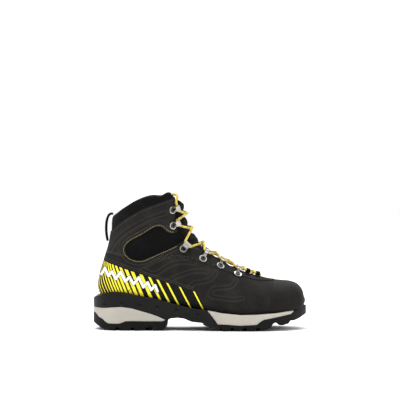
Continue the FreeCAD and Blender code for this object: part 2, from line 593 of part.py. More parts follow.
def cord_path(points, bend=None):
    """Straight runs joined by tangent arcs. Without a bend radius each arc is as large as fits."""
    edges, radii, start = [], [], points[0]
    for before, corner, after in zip(points, points[1:], points[2:]):
        into, out = corner - before, after - corner
        shorter = min(into.Length, out.Length)
        into.normalize()
        out.normalize()
        turn = math.acos(max(-1.0, min(1.0, into.dot(out))))
        tangent = 0.45 * shorter
        if bend:
            tangent = min(tangent, bend * math.tan(turn / 2))
        radii.append(tangent / math.tan(turn / 2))
        first, last = corner - into * tangent, corner + out * tangent
        inward = out - into
        inward.normalize()
        middle = corner + inward * (radii[-1] / math.cos(turn / 2) - radii[-1])
        edges += [Part.makeLine(start, first), Part.Arc(first, middle, last).toShape()]
        start = last
    edges.append(Part.makeLine(start, points[-1]))
    return Part.Wire(edges), radii


def cord_tube(name, points, bend=None):
    wire, radii = cord_path(points, bend)
    direction = points[1] - points[0]
    circle = Part.Wire(Part.makeCircle(LACE_RADIUS, points[0], direction))
    tube = wire.makePipeShell([circle], True, False)
    expected = math.pi * LACE_RADIUS**2 * wire.Length
    print(f"{name}: length {wire.Length:.1f} radii {min(radii):.1f} to {max(radii):.1f}"
          f" volume ratio {tube.Volume / expected:.4f}")
    return tube


def guide_points(row, name):
    """Where the lace enters and leaves one side's guide, going up the throat."""
    _, frames, (along, above), half_run = row
    origin, a, b, n = frames[name]
    middle = origin + a * along + n * above
    return middle - b * half_run, middle + b * half_run


def ridge_point(near, depth):
    """The point over the middle of the form's front nearest to a point, at a depth."""
    points = (form_point(5.0 + 0.02 * i, math.pi / 2, depth) for i in range(700))
    return min(points, key=lambda p: math.hypot(p.x - near.x, p.z - near.z))


def strand(rows, first_side):
    """Points of the lace from its toe guide to its top hook, crossing between every two rows."""
    names = ("lateral", "medial") if first_side == 1 else ("medial", "lateral")
    points = []
    for i, row in enumerate(rows):
        low, high = guide_points(row, names[i % 2])
        points += [low, high]
        if i + 1 < len(rows):
            next_low = guide_points(rows[i + 1], names[(i + 1) % 2])[0]
            over = (i % 2 == 0) == (first_side == 1)
            points.append(ridge_point((high + next_low) * 0.5, CROSS_OVER if over else CROSS_UNDER))
    return points


def lace_parts(rows):
    strands = {"lateral": strand(rows, 1), "medial": strand(rows, -1)}
    bar = ridge_point((strands["lateral"][0] + strands["medial"][0]) * 0.5, CROSS_UNDER)
    made = {"lace": cord_tube("lace", strands["lateral"][::-1] + [bar] + strands["medial"], LACE_BEND)}
    for name, points in strands.items():
        before, top = points[-2:]
        side = "lateral" if top.y < 0 else "medial"
        first_run = (top - before).normalize() * LACE_END_FIRST_RUN
        route = [top, top + first_run] + [Vec(x, math.copysign(y, top.y), z) for x, y, z in LACE_END]
        made[f"lace_end_{side}"] = cord_tube(f"lace_end_{side}", route)
        made[f"aglet_{side}"] = Part.makeCylinder(AGLET_RADIUS, AGLET_LENGTH, route[-1], route[-1] - route[-2])
    return made


def hardware_parts(rows):
    made, cuts = {}, []
    eyelet_number = hook_number = 0
    groups = {f"{kind}_{name}": [] for kind in ("eyelet_rivets", "hook_rivets", "toe_loops") for name in SIDES}
    for kind, frames, *_ in rows:
        eyelet_number += kind == "eyelet"
        hook_number += kind == "cuff_hook"
        for name, frame in frames.items():
            if kind == "toe_loop":
                groups[f"toe_loops_{name}"].append(place(fabric_loop(), frame))
                continue
            if kind == "eyelet":
                made[f"eyelet_{name}_{eyelet_number}"] = place(swivel_eyelet(), frame)
                groups[f"eyelet_rivets_{name}"].append(place(rivet(2 * SWIVEL_GAP + PLATE), frame))
            elif kind == "lock_hook":
                made[f"lock_hook_{name}"] = place(open_hook(9.0, 7.0), frame)
                groups[f"hook_rivets_{name}"].append(place(rivet(PLATE + 0.1), frame))
            else:
                made[f"cuff_hook_{name}_{hook_number}"] = place(open_hook(7.0, 5.5), frame)
                groups[f"hook_rivets_{name}"].append(place(rivet(PLATE + 0.1), frame))
            hole = Part.makeCylinder(RIVET_RADIUS, RIVET_DEPTH + 3, Vec(0, 0, -RIVET_DEPTH))
            cuts.append(place(hole, frame))
    for name, group in groups.items():
        made[name] = Part.makeCompound(group)
    return made, Part.makeCompound(cuts)


# --- Pull loop at the heel ------------------------------------------------------------------------

def pull_loop():
    """A folded tape, narrower at its sewn ends, standing off the back of the shaft."""
    outer = [Vec(x, -LOOP_WIDTH / 2, z) for x, z in LOOP_LINE]
    inner = []
    for i, point in enumerate(outer):
        along = outer[min(i + 1, len(outer) - 1)] - outer[max(i - 1, 0)]
        along.normalize()
        inner.append(point + Vec(-along.z, 0, along.x) * LOOP_TAPE)
    edges = [spline_edge(outer), Part.makeLine(outer[-1], inner[-1]),
             spline_edge(inner[::-1]), Part.makeLine(inner[0], outer[0])]
    tape = Part.Face(Part.Wire(edges)).extrude(Vec(0, LOOP_WIDTH, 0))
    low, high = LOOP_LINE[-1][1] - 1, LOOP_LINE[0][1] + 1
    end, full = LOOP_END_WIDTH / 2, LOOP_WIDTH / 2
    rear_view = [(end, low), (full, low + LOOP_TAPER), (full, high - LOOP_TAPER), (end, high)]
    corners = [Vec(-170, y, z) for y, z in rear_view] + [Vec(-170, -y, z) for y, z in rear_view[::-1]]
    return tape.common(Part.Face(Part.makePolygon(corners + corners[:1])).extrude(Vec(70, 0, 0)))


def swept_sleeves(rows):
    """The eyelets' sleeves over their whole swing, a little thicker."""
    sleeve, bore = eyelet_sleeve(SLEEVE_SPARE)
    swept = []
    for kind, frames, *_ in rows:
        if kind != "eyelet":
            continue
        for frame in frames.values():
            placed = place(sleeve.cut(bore), frame)
            swept += [placed.rotated(frame[0], frame[3], turn) for turn in SWIVEL_TURNS]
    return swept


def fit_soft_parts(made, hardware, sleeves):
    """Presses soft parts in where something harder or tighter lies against them."""
    pressed = made["lace"].cut(list(hardware.values()) + sleeves)
    made["lace"] = max(pressed.Solids, key=lambda solid: solid.Volume)
    for name in ("tongue", "eyestay_lateral", "eyestay_medial", "vamp", "ankle_cuff"):
        made[name] = made[name].cut(made["lace"])
    for name in ("vamp", "ankle_cuff", "eyestay_lateral", "eyestay_medial"):
        near = [shape for key, shape in hardware.items() if "rivets" not in key]
        made[name] = made[name].cut(Part.makeCompound(near))
    sole = Part.makeCompound([made[name] for name in ("sole_frame", "forefoot_midsole", "forefoot_tread")])
    for name in ("toe_cap", "heel_band", "vamp"):
        made[name] = made[name].cut(sole)


def save(name, shape):
    shape = one(shape)
    assert shape.isValid(), name
    shape.exportStep(os.path.join(PARTS, f"{name}.step"))
    box = shape.BoundBox
    print(f"{name:24s} solids {len(shape.Solids)} volume {shape.Volume:9.0f}  x {box.XMin:7.1f} {box.XMax:7.1f}"
          f"  y {box.YMin:6.1f} {box.YMax:6.1f}  z {box.ZMin:6.1f} {box.ZMax:6.1f}")


def main():
    os.makedirs(PARTS, exist_ok=True)
    depths = (OVERLAY, LEATHER, PAD_FRONT, LEATHER_BACK, STIFFENER_BACK, LINING_BACK, PAD_BACK)
    forms = {depth: form(depth) for depth in depths}
    shank = shank_plate(forms[LEATHER])
    made = sole_parts(forms[LEATHER], shank)
    made["shank"] = shank
    made.update(upper_parts(forms))
    rows = lace_rows()
    hardware, rivet_holes = hardware_parts(rows)
    for name in ("vamp", "ankle_cuff", "eyestay_lateral", "eyestay_medial"):
        made[name] = made[name].cut(rivet_holes)
    made.update(hardware)
    made.update(lace_parts(rows))
    fit_soft_parts(made, hardware, swept_sleeves(rows))
    made["pull_loop"] = pull_loop()
    for name, shape in made.items():
        save(name, shape)


main()
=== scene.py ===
"""The looks of a right-foot mountaineering boot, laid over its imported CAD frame.

The upper is drawn on the same lofted form as the CAD model: a point of it has a station (along the
boot, from the toe over the heel to the shaft), an angle round the section and a depth below the
outside of the leather. Millimetres inside this script; Blender gets metres. +X is the toe, -Y the
outer (lateral) side, +Z up.
"""

import math

import bpy
import numpy as np
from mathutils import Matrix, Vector


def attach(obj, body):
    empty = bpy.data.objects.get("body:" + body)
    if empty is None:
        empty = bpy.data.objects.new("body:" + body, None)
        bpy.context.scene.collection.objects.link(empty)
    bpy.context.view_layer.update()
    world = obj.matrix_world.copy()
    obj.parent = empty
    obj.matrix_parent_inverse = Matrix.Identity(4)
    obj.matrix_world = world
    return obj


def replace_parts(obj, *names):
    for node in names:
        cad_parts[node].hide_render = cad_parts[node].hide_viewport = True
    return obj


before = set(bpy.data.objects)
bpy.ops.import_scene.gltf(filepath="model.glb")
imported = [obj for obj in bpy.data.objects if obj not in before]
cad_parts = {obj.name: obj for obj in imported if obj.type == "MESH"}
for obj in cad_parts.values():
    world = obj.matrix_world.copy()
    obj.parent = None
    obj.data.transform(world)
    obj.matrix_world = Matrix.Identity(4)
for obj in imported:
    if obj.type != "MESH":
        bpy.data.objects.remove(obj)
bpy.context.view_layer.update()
ROOT = "boot"
MM = 0.001

# --- The form -------------------------------------------------------------------------------------
# top x, top z, bottom x, bottom z, centre y, lateral half width, medial half width,
# height of the widest point as a share of the section, roundness above it, roundness below it
STATIONS = np.array((
    (149.0, 44.0, 149.0, 36.0, 9.0, 9.0, 9.0, 0.50, 2.0, 2.0),
    (147.8, 51.0, 148.0, 30.0, 9.0, 20.0, 17.0, 0.45, 2.2, 2.4),
    (145.0, 57.5, 145.2, 27.5, 8.0, 30.0, 24.5, 0.42, 2.3, 2.8),
    (139.0, 63.5, 139.0, 25.0, 7.0, 37.5, 31.5, 0.40, 2.3, 3.0),
    (129.0, 67.3, 129.0, 22.8, 5.5, 43.5, 38.5, 0.38, 2.2, 3.2),
    (115.0, 68.8, 113.0, 20.5, 4.0, 47.5, 44.0, 0.37, 2.1, 3.4),
    (98.0, 71.0, 94.0, 18.6, 2.5, 50.0, 47.5, 0.36, 2.0, 3.4),
    (78.0, 76.0, 72.0, 17.3, 1.5, 51.0, 48.0, 0.35, 1.9, 3.4),
    (58.0, 83.5, 49.0, 17.0, 0.5, 50.0, 46.0, 0.35, 1.9, 3.3),
    (40.0, 92.0, 22.0, 18.5, 0.0, 47.0, 41.5, 0.36, 1.9, 3.1),
    (24.0, 102.0, -8.0, 22.0, 0.0, 43.5, 37.0, 0.37, 2.0, 2.9),
    (10.5, 112.0, -40.0, 27.0, 0.0, 40.5, 34.5, 0.38, 2.0, 2.8),
    (-1.0, 122.5, -75.0, 31.5, 0.0, 38.5, 35.0, 0.40, 2.1, 2.7),
    (-9.5, 132.5, -109.0, 34.5, 0.0, 37.5, 36.0, 0.42, 2.1, 2.6),
    (-15.5, 141.5, -135.0, 40.0, 0.0, 36.8, 36.0, 0.44, 2.2, 2.5),
    (-19.5, 150.0, -145.5, 58.0, 0.0, 36.2, 35.8, 0.46, 2.2, 2.4),
    (-22.0, 158.0, -143.5, 80.0, 0.0, 36.0, 35.8, 0.48, 2.2, 2.4),
    (-24.0, 167.0, -137.0, 101.0, 0.0, 36.4, 36.0, 0.50, 2.2, 2.4),
    (-25.5, 177.0, -130.5, 122.0, 0.0, 37.2, 36.8, 0.50, 2.2, 2.4),
    (-27.0, 189.0, -126.5, 146.0, 0.0, 38.2, 38.0, 0.50, 2.2, 2.4),
    (-28.5, 202.0, -123.5, 170.0, 0.0, 39.2, 39.0, 0.50, 2.2, 2.4),
    (-30.0, 216.0, -121.5, 194.0, 0.0, 40.2, 40.0, 0.50, 2.2, 2.4),
))
LAST = len(STATIONS) - 1
BACK = -math.pi / 2      # the angle of the bottom of the foot and the back of the shaft
FRONT = math.pi / 2      # the angle of the top of the foot and the front of the shaft

# Side-view outlines (x, z), as in the CAD model.
RAND_LINE = ((-160.0, 40.0), (-147.5, 47.5), (-132.5, 52.6), (-115.0, 54.0), (-87.2, 49.1), (-57.0, 43.5),
             (-36.9, 37.5), (-11.7, 31.5), (10.0, 28.5), (33.2, 24.5), (57.0, 22.3), (80.6, 22.6),
             (104.4, 24.3), (134.2, 27.9), (142.5, 30.4), (160.0, 36.0))
FEATHER_LINE = ((-160.0, 56.0), (-145.0, 47.0), (-135.0, 44.5), (-120.0, 40.5), (-109.0, 38.5),
                (-75.0, 35.5), (-40.0, 31.0), (-8.0, 26.0), (22.0, 22.5), (49.0, 21.0), (72.0, 21.2),
                (94.0, 22.3), (113.0, 23.8), (129.0, 26.0), (140.0, 28.2), (160.0, 33.0))
COLLAR_SEAM = ((-160.0, 118.0), (-125.4, 141.6), (-113.6, 152.0), (-100.8, 160.8), (-82.5, 170.8),
               (-64.2, 178.1), (-42.2, 186.0), (0.0, 200.0))
COLLAR_TOP = ((-160.0, 136.0), (-122.7, 163.4), (-103.4, 177.1), (-80.5, 188.0), (-64.0, 191.0),
              (-53.0, 191.4), (-44.0, 195.5), (-37.0, 190.5), (-30.0, 176.0))
TONGUE_TOP = ((-70.0, 182.0), (-45.0, 186.5), (-33.0, 185.5), (-26.0, 180.5), (-10.0, 172.0),
              (40.0, 150.0), (100.0, 110.0))
HEEL_BAND_TOP = ((-160.0, 107.0), (-138.0, 99.5), (-109.8, 89.1), (-87.9, 81.4), (-60.6, 72.6),
                 (-28.8, 62.3), (-5.0, 55.0), (30.0, 44.0))
HEEL_BAND_FRONT = ((-22.0, 90.0), (-5.0, 55.0), (12.0, 20.0), (18.0, 8.0))
CUFF_SEAM = ((-160.0, 118.0), (-132.5, 108.0), (-121.7, 105.3), (-107.4, 102.6), (-92.0, 101.5),
             (-80.0, 106.0), (-60.0, 119.0), (-38.0, 127.5), (0.0, 146.0))
FLEX_PANEL = ((-104.4, 120.6), (-88.9, 131.6), (-73.3, 140.6), (-62.5, 146.6), (-56.9, 147.2),
              (-50.5, 143.5), (-44.1, 138.5), (-36.8, 137.5), (-28.0, 142.0), (0.0, 155.0), (0.0, 134.0),
              (-23.3, 125.7), (-38.7, 117.6), (-60.6, 108.3), (-74.9, 101.7), (-84.0, 99.0), (-92.5, 99.8),
              (-100.0, 102.8), (-105.0, 108.0), (-106.8, 114.8))
TOE_CAP_EDGE = ((112.0, 84.0), (106.0, 68.0), (102.0, 55.0), (100.0, 40.0), (97.0, 10.0))

# The throat opening: it lies above the plane x + z = THROAT_PLANE, and its outline is (way up the
# throat, half width) seen along that plane's normal.
THROAT_PLANE = 84.0
THROAT = ((-12.0, 0.0), (-11.0, 3.2), (-8.0, 5.6), (0.0, 8.5), (20.0, 11.0), (40.0, 13.0), (60.0, 14.5),
          (75.0, 16.0), (90.0, 18.0), (105.0, 20.0), (120.0, 22.0), (150.0, 23.0), (190.0, 24.0))

EDGE_LEVELS = (0.9, 0.45, 0.12)      # extra cuts beside a leather edge, in millimetres from it
RIM_LEVELS = (2.4, 1.6, 0.9, 0.4, 0.1)            # the same beside the collar's padded rim
TONGUE_LEVELS = (2.6, 1.5, 0.8, 0.3, 0.08)        # and beside the tongue's
MIN_HALF = 1.2           # least half width and half height of a section


def station_rows(u):
    """The section's numbers at stations u, smooth between the listed stations."""
    u = np.asarray(u, float)
    i = np.clip(np.floor(u).astype(int), 0, LAST - 1)
    t = (u - i)[..., None]
    a, b, c, d = (STATIONS[np.clip(i + k, 0, LAST)] for k in (-1, 0, 1, 2))
    return 0.5 * (2 * b + (c - a) * t + (2 * a - 5 * b + 4 * c - d) * t**2 + (3 * b - a - 3 * c + d) * t**3)


def form(u, angle, depth=0.0):
    """Points of the form. Angles from BACK to FRONT are the lateral side, from FRONT - 360 degrees to
    BACK the medial side. Stations from -1 to 0 close the toe tip."""
    u, angle = np.broadcast_arrays(np.asarray(u, float), np.asarray(angle, float))
    nose = np.clip(-u, 0, 1)
    row = station_rows(np.maximum(u, 0.0))
    top_x, top_z, low_x, low_z, centre, lateral, medial, belly, above, below = np.moveaxis(row, -1, 0)
    height = np.hypot(top_x - low_x, top_z - low_z)
    up_x, up_z = (top_x - low_x) / height, (top_z - low_z) / height
    back = depth * np.clip(1 - u / 4, 0, 1)
    across, along = np.cos(angle), np.sin(angle)
    half_width = np.maximum(np.where(across > 0, lateral, medial) - depth, MIN_HALF)
    half_height = np.maximum(np.where(along > 0, height * (1 - belly), height * belly) - depth, MIN_HALF)
    power = np.where(along > 0, above, below)
    radius = (np.abs(across / half_width) ** power + np.abs(along / half_height) ** power) ** (-1 / power)
    radius = radius * np.sqrt(np.maximum(1 - nose**2, 0))
    rise = height * belly + radius * along
    x = low_x + up_x * rise - back + 1.5 * nose
    return np.stack([x, centre - radius * across, low_z + up_z * rise], -1)


def smooth_line(points, step=1.6, closed=False):
    """Dense points of the smooth curve through the given ones (a cubic spline by chord length)."""
    p = np.array(points, float)
    pad = 4 if closed else 0
    if closed:
        p = np.concatenate([p[-pad:], p, p[:pad + 1]])
    t = np.concatenate([[0], np.cumsum(np.linalg.norm(np.diff(p, axis=0), axis=1))])
    h = np.diff(t)
    n = len(p)
    system = np.eye(n)
    right = np.zeros((n, p.shape[1]))
    for i in range(1, n - 1):
        system[i, i - 1:i + 2] = h[i - 1], 2 * (h[i - 1] + h[i]), h[i]
        right[i] = 6 * ((p[i + 1] - p[i]) / h[i] - (p[i] - p[i - 1]) / h[i - 1])
    bend = np.linalg.solve(system, right)
    start, stop = t[pad], t[n - 1 - pad]
    at = np.linspace(start, stop, max(int((stop - start) / step), 2) + 1)
    i = np.clip(np.searchsorted(t, at, side="right") - 1, 0, n - 2)
    a, b = (t[i + 1] - at)[:, None], (at - t[i])[:, None]
    w = h[i][:, None]
    return (bend[i] * a**3 + bend[i + 1] * b**3) / (6 * w) + (p[i] / w - bend[i] * w / 6) * a \
        + (p[i + 1] / w - bend[i + 1] * w / 6) * b


def distance_to(line, q):
    """Distance from each point q to a polyline."""
    out = np.empty(len(q))
    a, run = line[:-1], np.diff(line, axis=0)
    length = np.maximum((run**2).sum(1), 1e-9)
    for k in range(0, len(q), 6000):
        d = q[k:k + 6000, None] - a
        t = np.clip((d * run).sum(-1) / length, 0, 1)
        out[k:k + 6000] = np.sqrt(((d - t[..., None] * run) ** 2).sum(-1).min(1))
    return out


def inside_outline(line, q):
    """True for each point q inside a closed polyline."""
    inside = np.zeros(len(q), bool)
    for (x0, z0), (x1, z1) in zip(line, np.roll(line, -1, axis=0)):
        if z0 == z1:
            continue
        crosses = (q[:, 1] > min(z0, z1)) & (q[:, 1] <= max(z0, z1))
        inside ^= crosses & (q[:, 0] < x0 + (q[:, 1] - z0) * (x1 - x0) / (z1 - z0))
    return inside


# Fields: signed distances in millimetres over points of the form, positive on the named side.

REACH = 26.0     # beyond this a distance only needs its sign


def signed(line, q, rough):
    """Exact signed distance where the rough one is small, the rough one elsewhere."""
    out = rough.copy()
    close = np.abs(rough) < REACH
    out[close] = np.sign(rough[close]) * distance_to(line, q[close])
    return out


def over(points):
    """Distance above a line that runs along the boot."""
    line = smooth_line(points, 2.5)

    def field(p):
        q = p[:, [0, 2]]
        return signed(line, q, q[:, 1] - np.interp(q[:, 0], line[:, 0], line[:, 1]))
    return field


def ahead_of(points):
    """Distance ahead of a line that runs down the boot."""
    line = smooth_line(points, 2.5)
    rising = line[np.argsort(line[:, 1])]

    def field(p):
        q = p[:, [0, 2]]
        return signed(line, q, q[:, 0] - np.interp(q[:, 1], rising[:, 1], rising[:, 0]))
    return field


def within(points):
    """Distance inside a closed outline."""
    line = smooth_line(points, 2.0, closed=True)
    low, high = line.min(0) - REACH, line.max(0) + REACH

    def field(p):
        q = p[:, [0, 2]]
        close = ((q > low) & (q < high)).all(1)
        out = np.full(len(q), -REACH)
        near = q[close]
        out[close] = np.where(inside_outline(line, near), 1.0, -1.0) * distance_to(line, near)
        return out
    return field


def outside_throat(widen=0.0):
    """Distance from the throat opening, which is drawn on a 45-degree plane."""
    half = smooth_line([(t, w + widen) for t, w in THROAT[1:]])
    tip = np.array([(THROAT[0][0] - widen, 0.0)])
    rail = np.concatenate([tip, half])
    outline = np.concatenate([rail, rail[::-1] * (1, -1)])

    def field(p):
        q = throat_view(p)
        close = (p[:, 0] + p[:, 2] > THROAT_PLANE) & (q[:, 0] > THROAT[0][0] - 40.0)
        out = np.full(len(q), 60.0)
        near = q[close]
        out[close] = np.where(inside_outline(outline, near), -1.0, 1.0) * distance_to(rail, near)
        return out
    return field


def least(*fields):
    """Positive where every field is."""
    return lambda p: np.minimum.reduce([f(p) for f in fields])


def opposite(field):
    return lambda p: -field(p)


def shifted(field, by):
    return lambda p: field(p) + by


over_rand, over_feather = over(RAND_LINE), over(FEATHER_LINE)
over_seam, over_top, over_cuff = over(COLLAR_SEAM), over(COLLAR_TOP), over(CUFF_SEAM)
over_band, band_ahead = over(HEEL_BAND_TOP), ahead_of(HEEL_BAND_FRONT)
in_flex, ahead_of_cap = within(FLEX_PANEL), ahead_of(TOE_CAP_EDGE)
off_throat = outside_throat()


# --- Meshes ---------------------------------------------------------------------------------------

def add_object(name, points, faces, material, body=ROOT):
    """A smooth-shaded mesh object from millimetre points, riding on a body."""
    mesh = bpy.data.meshes.new(name)
    mesh.from_pydata((np.asarray(points) * MM).tolist(), [], faces)
    mesh.polygons.foreach_set("use_smooth", [True] * len(mesh.polygons))
    mesh.update()
    return add_mesh(name, mesh, material, body)


def add_mesh(name, mesh, material, body=ROOT):
    obj = bpy.data.objects.new(name, mesh)
    bpy.context.collection.objects.link(obj)
    mesh.materials.clear()
    mesh.materials.append(material)
    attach(obj, body)
    return obj


class Patch:
    """A piece of the form's surface in station and angle, cut exactly along the levels of fields."""

    def __init__(self, stations, angles, pitch=1.0):
        u = np.arange(stations[0], stations[1] + 1e-6, 0.06 * pitch)
        a = np.linspace(*angles, int(abs(angles[1] - angles[0]) * 46 / pitch) + 2)
        self.at = np.stack(np.meshgrid(u, a, indexing="ij"), -1).reshape(-1, 2)
        n = len(a)
        first = (np.arange(len(u) - 1)[:, None] * n + np.arange(n - 1)[None]).ravel()
        self.faces = np.stack([first, first + 1, first + n + 1, first + n], -1).tolist()

    def points(self, depth=0.0):
        return form(self.at[:, 0], self.at[:, 1], depth)

    def split(self, field, level=0.0, keep_all=True):
        """Cuts the faces along field = level, and drops those below it unless keep_all."""
        value = field(self.points()) - level
        value[np.abs(value) < 1e-4] = 1e-4
        sign = value > 0
        quads, rest, crossing = [], [], []
        for face in self.faces:
            marks = {bool(sign[v]) for v in face}
            if len(marks) == 2:
                crossing.append(face)
            elif keep_all or marks == {True}:
                quads.append(face)
        cuts = {}
        for face in crossing:
            for i, j in zip(face, face[1:] + face[:1]):
                if sign[i] != sign[j]:
                    cuts.setdefault((min(i, j), max(i, j)), len(cuts))
        if cuts:
            ends = np.array(list(cuts))
            a, b = self.at[ends[:, 0]], self.at[ends[:, 1]]
            va, vb = value[ends[:, 0]], value[ends[:, 1]]
            for _ in range(3):
                t = (va / (va - vb))[:, None]
                middle = a + (b - a) * t
                vm = field(form(middle[:, 0], middle[:, 1])) - level
                same = (vm > 0) == (va > 0)
                a, va = np.where(same[:, None], middle, a), np.where(same, vm, va)
                b, vb = np.where(same[:, None], b, middle), np.where(same, vb, vm)
                close = np.abs(va - vb) < 1e-6
                vb = np.where(close, va - np.sign(va) * 1e-3 - 1e-9, vb)
            base = len(self.at)
            self.at = np.concatenate([self.at, middle])
            for face in crossing:
                parts = {True: [], False: []}
                for i, j in zip(face, face[1:] + face[:1]):
                    parts[bool(sign[i])].append(i)
                    if sign[i] != sign[j]:
                        new = base + cuts[(min(i, j), max(i, j))]
                        parts[True].append(new)
                        parts[False].append(new)
                rest.append(parts[True])
                if keep_all:
                    rest.append(parts[False])
        self.faces = quads + [f for f in rest if len(f) > 2]
        return self

    def clip(self, field, levels=()):
        """Keeps only where field is positive, with extra cuts near the edge for its rounding."""
        self.split(field, 0.0, keep_all=False)
        for level in levels:
            self.split(field, level)
        return self

    def make(self, name, depth, material, slot, inward=False, tone_and_highlight=None):
        """The object, with depth a number or a function of the points, and the last argument an optional
        field of painted highlight, kept on its points as an attribute.
        """
        used = np.unique(np.concatenate([np.asarray(f) for f in self.faces]))
        index = np.full(len(self.at), -1)
        index[used] = np.arange(len(used))
        at = self.at[used]
        rest = form(at[:, 0], at[:, 1])
        deep = depth(rest) if callable(depth) else depth
        faces = [[int(index[v]) for v in (f[::-1] if inward else f)] for f in self.faces]
        obj = add_object(name, form(at[:, 0], at[:, 1], deep), faces, material)
        # painted highlight: stored as a point attribute for the suede shader
        if tone_and_highlight:
            layer = obj.data.attributes.new("tone_and_highlight", "FLOAT", "POINT")
            layer.data.foreach_set("value", tone_and_highlight(rest).astype(np.float32))
        return obj


def rolled(distance, radius):
    """0 at an edge to 1 from radius inwards, along a quarter circle."""
    x = np.clip(distance / radius, 0, 1)
    return np.sqrt(np.maximum(1 - (1 - x) ** 2, 0))


def eased(x):
    x = np.clip(x, 0, 1)
    return x * x * (3 - 2 * x)


def waves(p, size, seed):
    """A smooth random relief between about -1 and 1, with bumps of this size in millimetres."""
    rng = np.random.default_rng(seed)
    total = np.zeros(len(p))
    for _ in range(10):
        direction = rng.normal(size=3)
        direction /= np.linalg.norm(direction)
        total += np.sin(p @ direction * 2 * math.pi / (size * rng.uniform(0.7, 1.6)) + rng.uniform(0, 6.3))
    return total / 4.0


def tube(points, radius, sides=10, relief=None):
    """Points and faces of a round tube along a dense line, with flat ends."""
    p = np.asarray(points, float)
    along = np.gradient(p, axis=0)
    along /= np.linalg.norm(along, axis=1)[:, None]
    side = np.cross(along[0], (0.3, 0.5, 0.8))
    side /= np.linalg.norm(side)
    rings = []
    length = np.concatenate([[0], np.cumsum(np.linalg.norm(np.diff(p, axis=0), axis=1))])
    turn = np.arange(sides) * 2 * math.pi / sides
    for centre, t, s in zip(p, along, length):
        side = side - t * (side @ t)
        side /= np.linalg.norm(side)
        up = np.cross(t, side)
        r = radius * (relief(s, turn) if relief else np.ones(sides))
        rings.append(centre + r[:, None] * (np.cos(turn)[:, None] * side + np.sin(turn)[:, None] * up))
    n = sides
    faces = [[i * n + k, i * n + (k + 1) % n, (i + 1) * n + (k + 1) % n, (i + 1) * n + k]
             for i in range(len(p) - 1) for k in range(n)]
    faces.append(list(range(n))[::-1])
    faces.append([(len(p) - 1) * n + k for k in range(n)])
    return np.concatenate(rings), faces


def join(pieces):
    """Several (points, faces) as one."""
    points, faces, base = [], [], 0
    for p, f in pieces:
        points.append(p)
        faces += [[base + v for v in face] for face in f]
        base += len(p)
    return np.concatenate(points), faces


def locate(targets, project, side, stations=(2.0, LAST - 0.1)):
    """Stations and angles of the form's points whose projection is at each target, on one side."""
    u, a = np.meshgrid(np.arange(stations[0], stations[1], 0.25), np.radians(np.arange(-75, 90, 5)))
    at = np.stack([u.ravel(), a.ravel()], -1)
    turned = lambda x: x if side == 1 else -math.pi - x
    seen = project(form(at[:, 0], turned(at[:, 1])))
    best = at[np.argmin(((targets[:, None] - seen[None]) ** 2).sum(-1), axis=1)]
    for _ in range(12):
        here = project(form(best[:, 0], turned(best[:, 1])))
        du = (project(form(best[:, 0] + 1e-3, turned(best[:, 1]))) - here) / 1e-3
        da = (project(form(best[:, 0], turned(best[:, 1] + 1e-3))) - here) / 1e-3
        error = targets - here
        det = du[:, 0] * da[:, 1] - du[:, 1] * da[:, 0]
        det = np.where(np.abs(det) < 1e-3, 1e-3, det)
        step_u = (error[:, 0] * da[:, 1] - error[:, 1] * da[:, 0]) / det
        step_a = (du[:, 0] * error[:, 1] - du[:, 1] * error[:, 0]) / det
        best = best + np.stack([np.clip(step_u, -0.3, 0.3), np.clip(step_a, -0.15, 0.15)], -1)
        best[:, 0] = np.clip(best[:, 0], 0, LAST)
        best[:, 1] = np.clip(best[:, 1], -1.5, 1.57)
    return best[:, 0], turned(best[:, 1])


def side_view(p):
    return p[:, [0, 2]]


def throat_view(p):
    return np.stack([(p[:, 2] - p[:, 0]) / math.sqrt(2), np.abs(p[:, 1])], -1)


def on_form(line, side, depth, project=side_view):
    """A drawn line laid on the form, as points with their outward normals."""
    u, a = locate(np.asarray(line, float), project, side)
    p = form(u, a, depth)
    across = form(u, a + 0.01, depth) - form(u, a - 0.01, depth)
    along = form(u + 0.01, a, depth) - form(u - 0.01, a, depth)
    normal = np.cross(across, along)
    return p, normal / np.linalg.norm(normal, axis=1)[:, None]


def offset_line(line, by):
    """A drawn line moved to its left."""
    run = np.gradient(line, axis=0)
    run /= np.linalg.norm(run, axis=1)[:, None]
    return line + by * run[:, ::-1] * (-1, 1)


def stitches(points, normals, pitch=3.0, length=2.1, radius=0.38, slant=0.0):
    """A row of sewing-thread stitches, each a short rounded bar sunk a little at its ends."""
    step = np.linalg.norm(np.diff(points, axis=0), axis=1)
    s = np.concatenate([[0], np.cumsum(step)])
    made = []
    shape = ((-0.5, -0.6), (-0.36, 0.5), (0.0, 0.75), (0.36, 0.5), (0.5, -0.6))
    for start in np.arange(pitch / 2, s[-1] - pitch / 2, pitch):
        centre = np.array([np.interp(start, s, points[:, k]) for k in range(3)])
        near = min(np.searchsorted(s, start), len(points) - 1)
        normal = normals[near]
        run = points[near] - points[max(near - 1, 0)]
        run = run - normal * (run @ normal)
        if np.linalg.norm(run) < 1e-6:
            continue
        run /= np.linalg.norm(run)
        across = np.cross(normal, run)
        run = run * math.cos(slant) + across * math.sin(slant)
        spine = [centre + run * length * x + normal * radius * h for x, h in shape]
        made.append(tube(spine, radius, sides=6))
    return made


# --- Materials ------------------------------------------------------------------------------------

